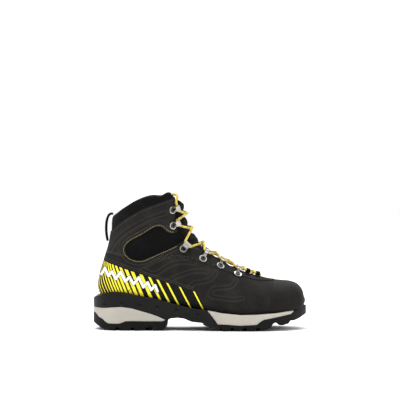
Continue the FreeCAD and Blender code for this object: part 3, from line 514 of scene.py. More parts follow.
class Shader:
    """A small helper round one procedural material."""

    def __init__(self, name, color, roughness, **inputs):
        self.material = bpy.data.materials.new(name)
        self.material.use_nodes = True
        self.nodes = self.material.node_tree.nodes
        self.links = self.material.node_tree.links
        self.surface = self.nodes["Principled BSDF"]
        self.color = color
        self.set(self.surface, {"Base Color": (*color, 1.0), "Roughness": roughness, **inputs})
        self.where = self.nodes.new("ShaderNodeTexCoord").outputs["Object"]
        self.bump_before = None

    @staticmethod
    def set(node, inputs):
        for key, value in inputs.items():
            node.inputs[key].default_value = value

    def noise(self, scale, detail=4.0, roughness=0.55, where=None, stretch=None):
        node = self.nodes.new("ShaderNodeTexNoise")
        self.set(node, {"Scale": scale, "Detail": detail, "Roughness": roughness})
        source = where or self.where
        if stretch:
            mapping = self.nodes.new("ShaderNodeMapping")
            self.set(mapping, {"Scale": stretch})
            self.links.new(source, mapping.inputs["Vector"])
            source = mapping.outputs["Vector"]
        self.links.new(source, node.inputs["Vector"])
        return node.outputs["Fac"]

    def cells(self, scale, feature="F1"):
        node = self.nodes.new("ShaderNodeTexVoronoi")
        node.feature = feature
        self.set(node, {"Scale": scale})
        self.links.new(self.where, node.inputs["Vector"])
        return node.outputs["Distance"]

    def wave(self, scale, direction="DIAGONAL", distortion=0.0):
        node = self.nodes.new("ShaderNodeTexWave")
        node.bands_direction = direction
        self.set(node, {"Scale": scale, "Distortion": distortion})
        self.links.new(self.where, node.inputs["Vector"])
        return node.outputs["Fac"]

    def attribute(self, name):
        node = self.nodes.new("ShaderNodeAttribute")
        node.attribute_name = name
        return node.outputs["Fac"]

    def math(self, operation, a, b):
        node = self.nodes.new("ShaderNodeMath")
        node.operation = operation
        for socket, value in zip(node.inputs, (a, b)):
            if isinstance(value, (int, float)):
                socket.default_value = value
            else:
                self.links.new(value, socket)
        return node.outputs[0]

    def ramp(self, source, low, high):
        """Source stretched so that low and high become 0 and 1."""
        node = self.nodes.new("ShaderNodeMapRange")
        self.set(node, {"From Min": low, "From Max": high})
        self.links.new(source, node.inputs["Value"])
        return node.outputs["Result"]

    def blend_color(self, factor, other):
        """Mixes the colour so far with another one."""
        node = self.nodes.new("ShaderNodeMix")
        node.data_type = "RGBA"
        base = self.surface.inputs["Base Color"]
        if base.links:
            self.links.new(base.links[0].from_socket, node.inputs["A"])
        else:
            node.inputs["A"].default_value = base.default_value
        node.inputs["B"].default_value = (*other, 1.0)
        self.links.new(factor, node.inputs["Factor"])
        self.links.new(node.outputs["Result"], base)
        return self

    def vary_roughness(self, source, low, high):
        node = self.nodes.new("ShaderNodeMapRange")
        self.set(node, {"To Min": low, "To Max": high})
        self.links.new(source, node.inputs["Value"])
        self.links.new(node.outputs["Result"], self.surface.inputs["Roughness"])
        return self

    def bump(self, height, distance, strength=1.0):
        node = self.nodes.new("ShaderNodeBump")
        self.set(node, {"Strength": strength, "Distance": distance})
        self.links.new(height, node.inputs["Height"])
        if self.bump_before:
            self.links.new(self.bump_before, node.inputs["Normal"])
        self.bump_before = node.outputs["Normal"]
        self.links.new(self.bump_before, self.surface.inputs["Normal"])
        return self


def suede(name, color, tone_and_highlight):
    """Brushed leather: a short nap, uneven in tone, with a painted highlight on the ridges beside pressed
    lines, read from a point attribute.
    """
    s = Shader(name, color, 0.9, **{"Specular IOR Level": 0.08})
    s.set(s.surface, {"Sheen Weight": 0.02, "Sheen Roughness": 0.6, "Sheen Tint": (0.55, 0.52, 0.48, 1.0)})
    s.blend_color(s.ramp(s.noise(38.0, 5.0, 0.6), 0.42, 0.78), tone_and_highlight)
    s.blend_color(s.ramp(s.noise(900.0, 3.0, 0.7), 0.52, 0.95), tuple(c * 1.7 for c in tone_and_highlight))
    # painted highlight: the ridges beside the pressed lines are lightened
    s.blend_color(s.attribute("tone_and_highlight"), tuple(c * 2.6 for c in tone_and_highlight))
    s.vary_roughness(s.noise(60.0), 0.78, 0.98)
    s.bump(s.noise(210.0, 4.0, 0.6), 0.0004, 0.45)
    s.bump(s.noise(1300.0, 3.0, 0.75), 0.00018, 0.8)
    return s.material


def woven(name, color, scale, light, sheen=0.015, depth=0.00025):
    """A close weave of two thread directions."""
    s = Shader(name, color, 0.85, **{"Specular IOR Level": 0.08})
    s.set(s.surface, {"Sheen Weight": sheen, "Sheen Roughness": 0.5})
    weave = s.math("MULTIPLY", s.wave(scale, "DIAGONAL"), s.wave(scale * 1.13, "Z"))
    s.blend_color(s.ramp(weave, 0.15, 0.95), light)
    s.blend_color(s.ramp(s.noise(45.0, 4.0), 0.5, 0.9), tuple(c * 1.25 for c in light))
    s.bump(weave, depth, 0.8)
    s.bump(s.noise(500.0, 3.0), 0.00015, 0.5)
    return s.material


def moulded(name, color, light, roughness, grain=700.0, depth=0.00012, coat=0.0, spec=0.35):
    """Moulded plastic, rubber or foam with a fine matt grain."""
    s = Shader(name, color, roughness, **{"Specular IOR Level": spec, "Coat Weight": coat})
    s.blend_color(s.ramp(s.noise(30.0, 5.0), 0.4, 0.85), light)
    s.vary_roughness(s.noise(90.0, 4.0), roughness - 0.08, min(roughness + 0.1, 1.0))
    s.bump(s.noise(grain, 4.0, 0.7), depth, 0.7)
    return s.material


def metal(name, color, roughness):
    """Nickel-plated steel with fine brush lines and a slightly dulled finish."""
    s = Shader(name, color, roughness, Metallic=1.0)
    s.blend_color(s.ramp(s.noise(260.0, 4.0), 0.45, 0.85), tuple(c * 0.72 for c in color))
    s.vary_roughness(s.noise(700.0, 4.0), roughness - 0.08, roughness + 0.16)
    s.bump(s.noise(400.0, 2.0, stretch=(1.0, 6.0, 1.0)), 0.00005, 0.5)
    return s.material


def printed(name, color, other, roughness=0.5):
    """A thin printed film with a slightly speckled second tone."""
    s = Shader(name, color, roughness, **{"Specular IOR Level": 0.35})
    s.blend_color(s.ramp(s.noise(55.0, 3.0), 0.45, 0.75), other)
    s.blend_color(s.ramp(s.cells(520.0), 0.25, 0.02), tuple(c * 0.8 for c in other))
    s.bump(s.noise(900.0, 3.0), 0.00008, 0.5)
    return s.material


def lace_material():
    """Braided polyester: the fleck attribute marks the dark strands; a second attribute paints shade into
    the gaps between strands.
    """
    s = Shader("lace_braid", (0.90, 0.70, 0.045), 0.65, **{"Sheen Weight": 0.3, "Specular IOR Level": 0.35})
    s.blend_color(s.ramp(s.noise(160.0, 3.0), 0.4, 0.8), (0.98, 0.80, 0.10))
    s.blend_color(s.attribute("fleck"), (0.05, 0.035, 0.01))
    # painted shade in the gaps between the braid's strands
    s.blend_color(s.ramp(s.attribute("strand_gap_shade"), 0.35, 1.0), (0.22, 0.13, 0.01))
    s.bump(s.noise(2200.0, 2.0), 0.00008, 0.6)
    return s.material


SUEDE = suede("suede_black", (0.0105, 0.0098, 0.0090), (0.021, 0.0195, 0.0175))
SUEDE_CUFF = suede("suede_cuff", (0.0125, 0.0117, 0.0108), (0.024, 0.0223, 0.020))
FILM = moulded("rubberised_film", (0.0090, 0.0082, 0.0075), (0.0165, 0.0145, 0.0128), 0.75, 1100.0, 0.0003,
               spec=0.12)
BAND_FILM = moulded("band_film", (0.0045, 0.0045, 0.0045), (0.008, 0.008, 0.008), 0.65, 900.0, spec=0.12)
SOFTSHELL = woven("softshell", (0.0022, 0.0022, 0.0025), 420.0, (0.0055, 0.0055, 0.0062))
COLLAR_KNIT = woven("collar_knit", (0.0030, 0.0029, 0.0029), 330.0, (0.0105, 0.010, 0.010), depth=0.0004)
LINING_KNIT = woven("lining_knit", (0.012, 0.012, 0.0125), 260.0, (0.036, 0.036, 0.037), depth=0.0005)
FOOTBED_FELT = woven("footbed_felt", (0.030, 0.030, 0.032), 500.0, (0.055, 0.055, 0.058))
WEBBING = woven("webbing", (0.0022, 0.0022, 0.0022), 480.0, (0.0065, 0.0065, 0.0065), depth=0.0004)
RUBBER = moulded("tread_rubber", (0.0030, 0.0030, 0.0030), (0.0065, 0.0063, 0.0060), 0.62, 800.0, 0.0002,
                 spec=0.14)
FRAME_PLASTIC = moulded("frame_plastic", (0.0042, 0.0041, 0.0040), (0.0085, 0.0080, 0.0075), 0.48, 900.0,
                        0.00015, spec=0.17)
FOAM = moulded("midsole_foam", (0.40, 0.375, 0.325), (0.47, 0.445, 0.39), 0.7, 650.0, 0.00018)
STEEL = metal("nickel_plate", (0.60, 0.58, 0.55), 0.24)
DARK_STEEL = metal("rivet_dark", (0.075, 0.07, 0.066), 0.36)
SHANK_STEEL = metal("shank_steel", (0.55, 0.55, 0.56), 0.4)
BOARD = moulded("fibre_board", (0.30, 0.26, 0.20), (0.36, 0.31, 0.25), 0.85, 400.0, 0.0003)
YELLOW = printed("stripe_yellow", (1.0, 0.87, 0.035), (1.0, 0.74, 0.02))
WHITE = printed("ridge_white", (0.86, 0.86, 0.85), (0.92, 0.92, 0.91), 0.45)
THREAD = moulded("thread_ochre", (0.30, 0.25, 0.085), (0.42, 0.36, 0.14), 0.7, 1500.0)
THREAD_GREY = moulded("thread_grey", (0.042, 0.039, 0.034), (0.075, 0.070, 0.061), 0.75, 1500.0)
LACE = lace_material()
AGLET = moulded("aglet_plastic", (0.012, 0.012, 0.012), (0.02, 0.02, 0.02), 0.25, 400.0, 0.00003, coat=0.4)


# --- Stage: floor, light and camera ---------------------------------------------------------------

FIELD = 0.573            # width of the view at the boot, in metres
AIM = Vector((0.0, -0.003, 0.184))
DISTANCE = 2.9
ELEVATION = math.radians(1.2)
SENSOR = 36.0            # width of the camera's sensor, in its own millimetres
LIT_AT = Vector((0.0, 0.0, 0.09))                 # where the lamps point
LAMPS = (                # name, place, power, size
    ("key", (-0.5, -1.0, 2.2), 38.0, 0.8),
    ("fill", (1.6, -1.3, 0.7), 6.0, 0.7),
    ("rim", (0.2, 1.3, 1.9), 26.0, 1.4),
)


def build_world():
    """White behind the boot, and greyer on the camera's side so that metal and rubber keep contrast."""
    world = bpy.data.worlds.new("studio")
    bpy.context.scene.world = world
    world.use_nodes = True
    nodes, links = world.node_tree.nodes, world.node_tree.links
    direction = nodes.new("ShaderNodeTexCoord").outputs["Generated"]
    lean = nodes.new("ShaderNodeVectorMath")
    lean.operation = "DOT_PRODUCT"
    lean.inputs[1].default_value = (0.0, 0.72, 0.69)
    fade = nodes.new("ShaderNodeMapRange")
    for key, value in (("From Min", -0.6), ("From Max", 0.6), ("To Min", 0.22), ("To Max", 1.25)):
        fade.inputs[key].default_value = value
    links.new(direction, lean.inputs[0])
    links.new(lean.outputs["Value"], fade.inputs["Value"])
    links.new(fade.outputs["Result"], nodes["Background"].inputs["Strength"])
    nodes["Background"].inputs["Color"].default_value = (1.0, 1.0, 1.0, 1.0)


def build_stage():
    bpy.context.scene.view_settings.view_transform = "Standard"
    build_world()
    bpy.ops.mesh.primitive_plane_add(size=14.0, location=(0.0, 0.0, -0.0004))
    floor = bpy.context.object
    floor.name = "floor"
    paper = Shader("floor_paper", (0.93, 0.93, 0.93), 0.85, **{"Specular IOR Level": 0.1})
    floor.data.materials.append(paper.material)

    for name, place, energy, size in LAMPS:
        light = bpy.data.lights.new(name, "AREA")
        light.energy, light.size = energy, size
        lamp = bpy.data.objects.new(name, light)
        lamp.location = place
        lamp.rotation_euler = (LIT_AT - Vector(place)).to_track_quat("-Z", "Y").to_euler()
        bpy.context.collection.objects.link(lamp)

    lens = bpy.data.cameras.new("camera")
    lens.sensor_width, lens.lens = SENSOR, SENSOR * DISTANCE / FIELD
    camera = bpy.data.objects.new("camera", lens)
    camera.location = AIM + DISTANCE * Vector((0.0, -math.cos(ELEVATION), math.sin(ELEVATION)))
    camera.rotation_euler = (AIM - camera.location).to_track_quat("-Z", "Y").to_euler()
    bpy.context.collection.objects.link(camera)
    bpy.context.scene.camera = camera


# --- Laces ----------------------------------------------------------------------------------------

OVERLAY = -1.2           # depth of the outside of the eyestays
LACE_RADIUS = 1.7
CROSS_UNDER, CROSS_OVER = -2.4, -6.1              # depth of the lower lace where two cross, and the upper
TIGHT_TURN = 3.2         # from a guide or a crossing to where the tight lace runs straight
TOE_LOOP_STATIONS = (6.8, 7.5)
TOE_LOOP_IN = 3.2        # from the throat's edge to a toe loop
# Where a guide holds the lace: how far from it towards the throat, how far above it, and half its run.
IN_TOE_LOOP = (3.5, 3.05, 3.6)
IN_EYELET = (12.2, 3.8, 3.4)
IN_LOCK_HOOK = (8.0, 3.4, 5.0)
IN_CUFF_HOOK = (8.0, 3.4, 4.2)
RIVETS = (               # place in the side view, depth, and where its guide holds the lace
    ((53.6, 78.9), OVERLAY, IN_EYELET),
    ((28.8, 90.6), OVERLAY, IN_EYELET),
    ((4.0, 100.8), OVERLAY, IN_EYELET),
    ((-23.9, 114.8), OVERLAY, IN_LOCK_HOOK),
    ((-38.7, 147.9), 0.0, IN_CUFF_HOOK),
    ((-39.5, 170.0), 0.0, IN_CUFF_HOOK),
)
LACE_END_START = 6.0     # first run of a free end, straight on from its hook
LACE_END = ((-31.0, 19.0, 190.0), (-38.5, 14.0, 193.2), (-45.5, 12.5, 187.5), (-47.0, 12.0, 174.0),
            (-46.0, 12.5, 152.0), (-46.5, 12.0, 127.0), (-46.0, 12.5, 102.0), (-48.5, 12.5, 78.0),
            (-54.0, 14.5, 58.5), (-67.0, 17.0, 48.0), (-83.0, 17.0, 48.6), (-100.0, 13.0, 50.7))


def unit(v):
    return v / np.linalg.norm(v)


def full_angle(angle, side):
    return angle if side == 1 else -math.pi - angle


def surface_axes(u, angle, side, depth):
    """Origin, to the throat, up the throat, and outwards, as for the CAD hardware."""
    def at(v, b):
        return form(v, full_angle(b, side), depth)
    origin = at(u, angle)
    across = unit(at(u, angle + 0.01) - at(u, angle - 0.01))
    outward = unit(np.cross(across, at(u + 0.01, angle) - at(u - 0.01, angle)) * side)
    return origin, across, np.cross(outward, across) * side, outward


def throat_width(distance):
    return np.interp(distance, [t for t, _ in THROAT], [w for _, w in THROAT])


def lace_guides():
    """Every row of guides from the toe up: its axes by side, and where it holds the lace."""
    rows = []
    for u in TOE_LOOP_STATIONS:
        top = form(u, FRONT)
        width = throat_width((top[2] - top[0]) / math.sqrt(2)) + TOE_LOOP_IN
        axes = {}
        for side in (1, -1):
            angles = np.linspace(0, math.pi / 2, 4001)
            y = form(u, full_angle(angles, side), OVERLAY)[:, 1] - station_rows(u)[4]
            axes[side] = surface_axes(u, angles[np.argmin(np.abs(np.abs(y) - width))], side, OVERLAY)
        rows.append((axes, IN_TOE_LOOP))
    for rivet, depth, held in RIVETS:
        axes = {side: surface_axes(*on_depth(rivet, side, depth), side, depth) for side in (1, -1)}
        rows.append((axes, held))
    return rows


def on_depth(target, side, depth):
    """Station and half angle of the point at this depth that shows at target from the side."""
    u, a = locate(np.array([target]), lambda p: p[:, [0, 2]], 1)
    u, a = float(u[0]), float(a[0])
    for _ in range(30):
        here = form(u, full_angle(a, side), depth)[[0, 2]]
        du = (form(u + 1e-3, full_angle(a, side), depth)[[0, 2]] - here) / 1e-3
        da = (form(u, full_angle(a + 1e-3, side), depth)[[0, 2]] - here) / 1e-3
        step = np.linalg.solve(np.stack([du, da], -1), np.array(target) - here)
        u, a = u + step[0], a + step[1]
    return u, a


def guide_run(row, side):
    """The two ends of the lace's straight run in a guide."""
    axes, (along, above, half_run) = row
    origin, across, up, outward = axes[side]
    middle = origin + across * along + outward * above
    return middle - up * half_run, middle + up * half_run


def ridge_point(near, depth):
    line = form(np.arange(700) * 0.02 + 5.0, FRONT, depth)
    return line[np.argmin(((line - near)[:, [0, 2]] ** 2).sum(1))]


def toward(start, goal, distance):
    return start + unit(goal - start) * distance


def strand(rows, first_side):
    """A strand's route, straight in its guides and tight between each guide and the crossing."""
    points = []
    for i, row in enumerate(rows):
        side = first_side if i % 2 == 0 else -first_side
        low, high = guide_run(row, side)
        points += [low, high]
        if i + 1 < len(rows):
            above = guide_run(rows[i + 1], -side)[0]
            crossing = ridge_point((high + above) / 2, CROSS_OVER if side == 1 else CROSS_UNDER)
            points += [toward(high, crossing, TIGHT_TURN), toward(crossing, high, TIGHT_TURN), crossing]
            points += [toward(crossing, above, TIGHT_TURN), toward(above, crossing, TIGHT_TURN)]
    return points


def route_line(points):
    """The smooth NURBS line that has a route's points as its control points."""
    curve = bpy.data.curves.new("route", "CURVE")
    curve.dimensions = "3D"
    spline = curve.splines.new("NURBS")
    spline.points.add(len(points) - 1)
    for knot, point in zip(spline.points, points):
        knot.co = (*point, 1.0)
    spline.order_u = 3
    spline.use_endpoint_u = True
    spline.resolution_u = 28
    holder = bpy.data.objects.new("route", curve)
    bpy.context.collection.objects.link(holder)
    bpy.context.view_layer.update()
    mesh = bpy.data.meshes.new_from_object(holder.evaluated_get(bpy.context.evaluated_depsgraph_get()))
    line = np.empty(3 * len(mesh.vertices))
    mesh.vertices.foreach_get("co", line)
    bpy.data.objects.remove(holder)
    bpy.data.meshes.remove(mesh)
    return line.reshape(-1, 3)


BRAID_TURN, STRANDS = 2.0, 4     # radians per millimetre, and strands each way
TUBE_SIDES = 16


def braid(s, turn):
    """Radius of the braid round its ring: crossing strands stand a little proud."""
    a = np.sin(STRANDS * turn + s * BRAID_TURN)
    b = np.sin(STRANDS * turn - s * BRAID_TURN)
    return 0.955 + 0.055 * np.maximum(np.abs(a), np.abs(b))


def lace_tube(name, line):
    """A braided lace along a line, with its dark flecks marked, and painted shade marked in the gaps between
    strands.
    """
    points, faces = tube(line, LACE_RADIUS, TUBE_SIDES, braid)
    obj = add_object(name, points, faces, LACE)
    s = np.concatenate([[0], np.cumsum(np.linalg.norm(np.diff(line, axis=0), axis=1))])
    turn = np.arange(TUBE_SIDES) * 2 * math.pi / TUBE_SIDES
    a = STRANDS * turn[None] + s[:, None] * BRAID_TURN
    b = STRANDS * turn[None] - s[:, None] * BRAID_TURN
    lead = np.floor(a / math.pi) % (2 * STRANDS) == 1
    fleck = (lead & (np.abs(np.sin(a)) > np.abs(np.sin(b)) - 0.2)).astype(float).ravel()
    # painted shade: strongest where neither strand stands proud
    strand_gap_shade = (1 - np.maximum(np.abs(np.sin(a)), np.abs(np.sin(b)))).ravel() * 2
    for key, values in (("fleck", fleck), ("strand_gap_shade", strand_gap_shade)):
        layer = obj.data.attributes.new(key, "FLOAT", "POINT")
        layer.data.foreach_set("value", values.astype(np.float32))
    return obj


def lace_strands():
    rows = lace_guides()
    return {"lateral": strand(rows, 1), "medial": strand(rows, -1)}


def lace_line():
    """The centreline of the threaded lace, from one top hook down to the toe and up to the other."""
    strands = lace_strands()
    bar = ridge_point((strands["lateral"][0] + strands["medial"][0]) / 2, CROSS_UNDER)
    return route_line(strands["lateral"][::-1] + [bar] + strands["medial"])


def build_laces():
    strands = lace_strands()
    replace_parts(lace_tube("lace_threaded", lace_line()), "lace")
    for points in strands.values():
        before, top = points[-2:]
        side = "lateral" if top[1] < 0 else "medial"
        route = [top, top + unit(top - before) * LACE_END_START]
        route += [np.array((x, math.copysign(y, top[1]), z)) for x, y, z in LACE_END]
        line = route_line(route)
        end = lace_tube(f"lace_free_end_{side}", line)
        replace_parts(end, f"lace_end_{side}")
        finish_node(f"aglet_{side}", AGLET, 0.3)


# --- CAD nodes that stay, and pieces made from CAD meshes ------------------------------------------

def finish_node(node, material, bevel=0.0):
    """Gives a CAD node its material and small rounded edges."""
    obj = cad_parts[node]
    obj.data.materials.clear()
    obj.data.materials.append(material)
    if bevel:
        edge = obj.modifiers.new("rounded_edges", "BEVEL")
        edge.width, edge.segments = bevel * MM, 2
        edge.limit_method, edge.angle_limit = "ANGLE", math.radians(35)
        edge.harden_normals = False
    return obj


def remeshed(name, node, voxel, rounds, material, body=ROOT, shape=None):
    """A CAD node's mesh made even and rounded, with its points moved by shape(points, normals)."""
    source = bpy.data.objects.new(name + "_source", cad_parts[node].data.copy())
    bpy.context.collection.objects.link(source)
    even = source.modifiers.new("even", "REMESH")
    even.mode, even.voxel_size = "VOXEL", voxel * MM
    soft = source.modifiers.new("soft", "SMOOTH")
    soft.iterations, soft.factor = rounds, 0.5
    bpy.context.view_layer.update()
    mesh = bpy.data.meshes.new_from_object(source.evaluated_get(bpy.context.evaluated_depsgraph_get()))
    bpy.data.objects.remove(source)
    mesh.name = name
    count = len(mesh.vertices)
    points, normals = np.empty(3 * count), np.empty(3 * count)
    mesh.vertices.foreach_get("co", points)
    mesh.vertex_normals.foreach_get("vector", normals)
    points, normals = points.reshape(-1, 3) / MM, normals.reshape(-1, 3)
    if shape:
        points = shape(points, normals)
        mesh.vertices.foreach_set("co", (points * MM).ravel())
    mesh.polygons.foreach_set("use_smooth", [True] * len(mesh.polygons))
    mesh.update()
    obj = add_mesh(name, mesh, material, body)
    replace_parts(obj, node)
    return obj


FRAME_DIMPLES = ((-135.5, 36.1), (-110.8, 38.1), (-85.6, 36.1), (-60.6, 33.1), (-33.4, 28.6), (-4.7, 22.9))
DIMPLE_RADIUS, DIMPLE_DEPTH = 2.6, 2.2


def dimpled(points, normals):
    """Small round pits along the side of the sole frame."""
    depth = np.zeros(len(points))
    for x, z in FRAME_DIMPLES:
        far = np.hypot(points[:, 0] - x, points[:, 2] - z) / DIMPLE_RADIUS
        depth = np.maximum(depth, DIMPLE_DEPTH * np.clip(1 - far**2, 0, 1))
    depth *= np.abs(normals[:, 1]) > 0.35
    return points - normals * depth[:, None] + normals * (waves(points, 16, 3) * 0.12)[:, None]


def foam_skin(points, normals):
    """The slight unevenness of moulded foam."""
    return points + normals * (waves(points, 22, 5) * 0.12 + waves(points, 5, 6) * 0.04)[:, None]


def rubber_skin(points, normals):
    return points + normals * (waves(points, 18, 8) * 0.12)[:, None]


def dished(points, normals):
    """A foot's shallow bed in the top of the insole, with a raised rim."""
    top = np.clip(normals[:, 2], 0, 1)
    middle = np.exp(-((points[:, 1] / 22) ** 2))
    points = points.copy()
    points[:, 2] -= top * (1.6 * middle + 0.3 * waves(points, 30, 9))
    return points


def build_sole():
    remeshed("heel_lugs", "heel_tread", 0.8, 3, RUBBER, shape=rubber_skin)
    remeshed("forefoot_lugs", "forefoot_tread", 0.8, 3, RUBBER, shape=rubber_skin)
    remeshed("heel_wedge", "heel_midsole", 0.8, 4, FOAM, shape=foam_skin)
    remeshed("forefoot_wedge", "forefoot_midsole", 0.8, 4, FOAM, shape=foam_skin)
    remeshed("frame_shell", "sole_frame", 0.8, 3, FRAME_PLASTIC, shape=dimpled)
    remeshed("insole", "footbed", 1.2, 6, FOOTBED_FELT, shape=dished)
    finish_node("shank", SHANK_STEEL)
    for node in ("lasting_board", "heel_counter", "toe_puff"):
        finish_node(node, BOARD)


def build_hardware():
    for side in ("lateral", "medial"):
        for i in (1, 2, 3):
            finish_node(f"eyelet_{side}_{i}", STEEL, 0.25)
        finish_node(f"lock_hook_{side}", STEEL, 0.25)
        for i in (1, 2):
            finish_node(f"cuff_hook_{side}_{i}", STEEL, 0.25)
        for kind in ("eyelet_rivets", "hook_rivets"):
            finish_node(f"{kind}_{side}", DARK_STEEL, 0.12)
        remeshed(f"lace_tapes_{side}", f"toe_loops_{side}", 0.3, 2, WEBBING)
    remeshed("heel_tape", "pull_loop", 0.4, 3, WEBBING, body="pull_loop_body",
             shape=lambda points, normals: points + 0.85 * normals)


# --- Upper ----------------------------------------------------------------------------------------

ROUND = (-1.5 * math.pi, 0.5 * math.pi)          # angles once round, meeting at the top or front
CUFF_FROM, CUFF_TO = 8.0, LAST - 0.3
FOLDED_IN = 1.1          # depth and radius of a leather edge's roll
PAD_REST = 3.0           # depth at which the collar's two faces meet at its rim
TONGUE_REST = 4.0        # the same for the tongue
LINING_DEPTH = 5.3


def leather_relief(p):
    return 0.14 * waves(p, 34, 21) + 0.05 * waves(p, 9, 22)


# Lines pressed into the leather of the quarter and of the cuff, in the side view.
QUARTER_LINES = (
    ((-80.0, 86.0), (-66.2, 80.2), (-48.3, 89.1), (-28.6, 96.3), (-8.0, 95.0)),
    ((-46.5, 69.5), (-35.8, 74.8), (-21.5, 80.2), (-7.2, 83.8), (10.7, 82.9)),
    ((-8.0, 52.0), (-14.3, 60.5), (-10.7, 65.0), (5.4, 69.5), (17.9, 74.8), (22.5, 82.0)),
    ((60.0, 46.0), (46.5, 44.5), (28.6, 46.5), (14.3, 51.6), (16.1, 56.0), (28.6, 60.5), (46.5, 64.1),
     (51.1, 71.0)),
)
CUFF_LINES = (
    ((-111.0, 102.8), (-112.6, 112.0), (-112.1, 122.4), (-104.0, 131.0), (-88.0, 141.0), (-70.0, 150.0),
     (-56.0, 153.0), (-44.0, 149.0)),
    ((-128.0, 112.0), (-121.0, 124.0), (-110.0, 136.0), (-92.0, 148.0), (-72.0, 158.0), (-48.0, 166.0)),
)


def groove(lines, width, deep, shoulder):
    """A profile along lines pressed into the leather: deep in the groove, -shoulder beside it."""
    drawn = [smooth_line(line) for line in lines]

    def depth(p):
        total = np.zeros(len(p))
        for line in drawn:
            close = np.abs(p[:, [0, 2]] - line.mean(0)).max(1) < np.ptp(line, axis=0).max() / 2 + 12
            near = distance_to(line, p[close][:, [0, 2]]) / width
            total[close] += deep * np.exp(-near**2) - shoulder * np.exp(-((near - 2.0) ** 2))
        return total
    return depth


LOW_SEAM = ((-88.0, 85.0), (-76.0, 90.5), (-64.4, 96.3), (-46.5, 102.6), (-35.8, 105.2), (-21.5, 103.5),
            (-7.2, 101.0), (4.0, 95.0), (14.3, 88.5))
pressed_quarter = groove(QUARTER_LINES + (LOW_SEAM,), 1.6, 0.8, 0.35)
pressed_cuff = groove(CUFF_LINES, 1.6, 0.8, 0.35)
# Painted highlight: these fields lighten the ridges beside the pressed lines in the suede's colour.
ridge_highlight_quarter = groove(QUARTER_LINES, 1.3, -0.06, -0.24)
ridge_highlight_cuff = groove(CUFF_LINES, 1.3, -0.06, -0.20)


def build_leather():
    edge = least(off_throat, opposite(in_flex), opposite(over_cuff))
    vamp = Patch((-1.0, 17.5), ROUND).clip(over_feather).clip(opposite(over_cuff))
    vamp.clip(opposite(in_flex), EDGE_LEVELS).clip(off_throat, EDGE_LEVELS)

    def vamp_depth(p):
        return FOLDED_IN * (1 - rolled(edge(p), FOLDED_IN)) + pressed_quarter(p) - leather_relief(p)
    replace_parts(vamp.make("vamp_leather", vamp_depth, SUEDE, "suede", tone_and_highlight=ridge_highlight_quarter), "vamp")

    rim = least(off_throat, opposite(in_flex), opposite(over_seam))
    cuff = Patch((CUFF_FROM, CUFF_TO), ROUND).clip(over_cuff).clip(opposite(over_seam), EDGE_LEVELS)
    cuff.clip(opposite(in_flex), EDGE_LEVELS).clip(off_throat, EDGE_LEVELS)

    def cuff_depth(p):
        fold = 0.5 * (1 - rolled(over_cuff(p), 1.0))
        turned_in = FOLDED_IN * (1 - rolled(rim(p), FOLDED_IN))
        return turned_in + fold + pressed_cuff(p) - leather_relief(p)
    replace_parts(cuff.make("cuff_leather", cuff_depth, SUEDE_CUFF, "suede", tone_and_highlight=ridge_highlight_cuff), "ankle_cuff")


def build_panels():
    for name, side in (("lateral", 1), ("medial", -1)):
        angles = (BACK, FRONT) if side == 1 else (-1.5 * math.pi, BACK)
        panel = Patch((CUFF_FROM, CUFF_TO), angles).clip(shifted(in_flex, 1.5)).clip(off_throat, EDGE_LEVELS)

        def depth(p):
            puff = 1.5 - 2.1 * eased(in_flex(p) / 11) + 1.0 * (1 - rolled(off_throat(p), 1.2))
            return puff - 0.3 * waves(p, 15, 31) * eased(in_flex(p) / 5)
        made = panel.make(f"ankle_softshell_{name}", depth, SOFTSHELL, "softshell")
        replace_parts(made, f"flex_panel_{name}")


def cut_to(area, edge, levels, first_station):
    """A patch up to the shaft's top, clipped to an area and cut finely beside an edge."""
    patch = Patch((first_station, LAST), ROUND).clip(area)
    for level in levels:
        patch.split(edge, level)
    return patch


def build_collar():
    top = least(opposite(over_top), off_throat)
    body = least(shifted(over_seam, 2.0), top)
    outer = cut_to(body, top, RIM_LEVELS, CUFF_FROM)

    def outer_depth(p):
        lift = 1.5 * eased(over_seam(p) / 9) + 0.25 * np.sin(over_seam(p) * 0.72) ** 2
        return PAD_REST - (2.2 + lift) * rolled(top(p), 3.0) - 0.12 * waves(p, 20, 41)
    shell = outer.make("collar_outer", outer_depth, COLLAR_KNIT, "softshell")
    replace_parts(shell, "collar")

    inner = cut_to(body, top, RIM_LEVELS, CUFF_FROM)

    def inner_depth(p):
        return PAD_REST + 2.9 * rolled(top(p), 3.0) + 0.15 * waves(p, 18, 42)
    inside = inner.make("collar_inner", inner_depth, LINING_KNIT, "lining_fabric", inward=True)


def build_tongue():
    bed = least(opposite(outside_throat(8.8)), opposite(over(TONGUE_TOP)), lambda p: p[:, 0] + 66.0)
    top = opposite(over(TONGUE_TOP))
    lace = lace_line()

    def outer_depth(p):
        tuck = 2.1 * eased((off_throat(p) + 3.4) / 3.0)
        room = distance_to(lace, p)
        body = 0.9 - (0.4 + 3.1 * eased((room - 3.4) / 6.0)) * eased(-off_throat(p) / 7) + tuck
        return TONGUE_REST + (body - TONGUE_REST) * rolled(top(p), 3.4) - 0.1 * waves(p, 12, 51)

    def inner_depth(p):
        return TONGUE_REST + 1.9 * rolled(top(p), 3.4)
    for name, depth, material, slot_name, inward in (
            ("tongue_outer", outer_depth, COLLAR_KNIT, "softshell", False),
            ("tongue_inner", inner_depth, LINING_KNIT, "lining_fabric", True)):
        piece = cut_to(bed, top, TONGUE_LEVELS, 4.0).make(name, depth, material, slot_name, inward)
        if not inward:
            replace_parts(piece, "tongue", "gusset_lateral", "gusset_medial")


def build_lining():
    lining = Patch((-0.98, LAST), ROUND, 1.5).clip(shifted(over_feather, -1.5)).clip(opposite(over_seam))
    lining.clip(outside_throat(8.0))

    def depth(p):
        return LINING_DEPTH + 0.12 * waves(p, 24, 61)
    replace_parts(lining.make("lining_knit", depth, LINING_KNIT, "lining_fabric", inward=True), "lining")


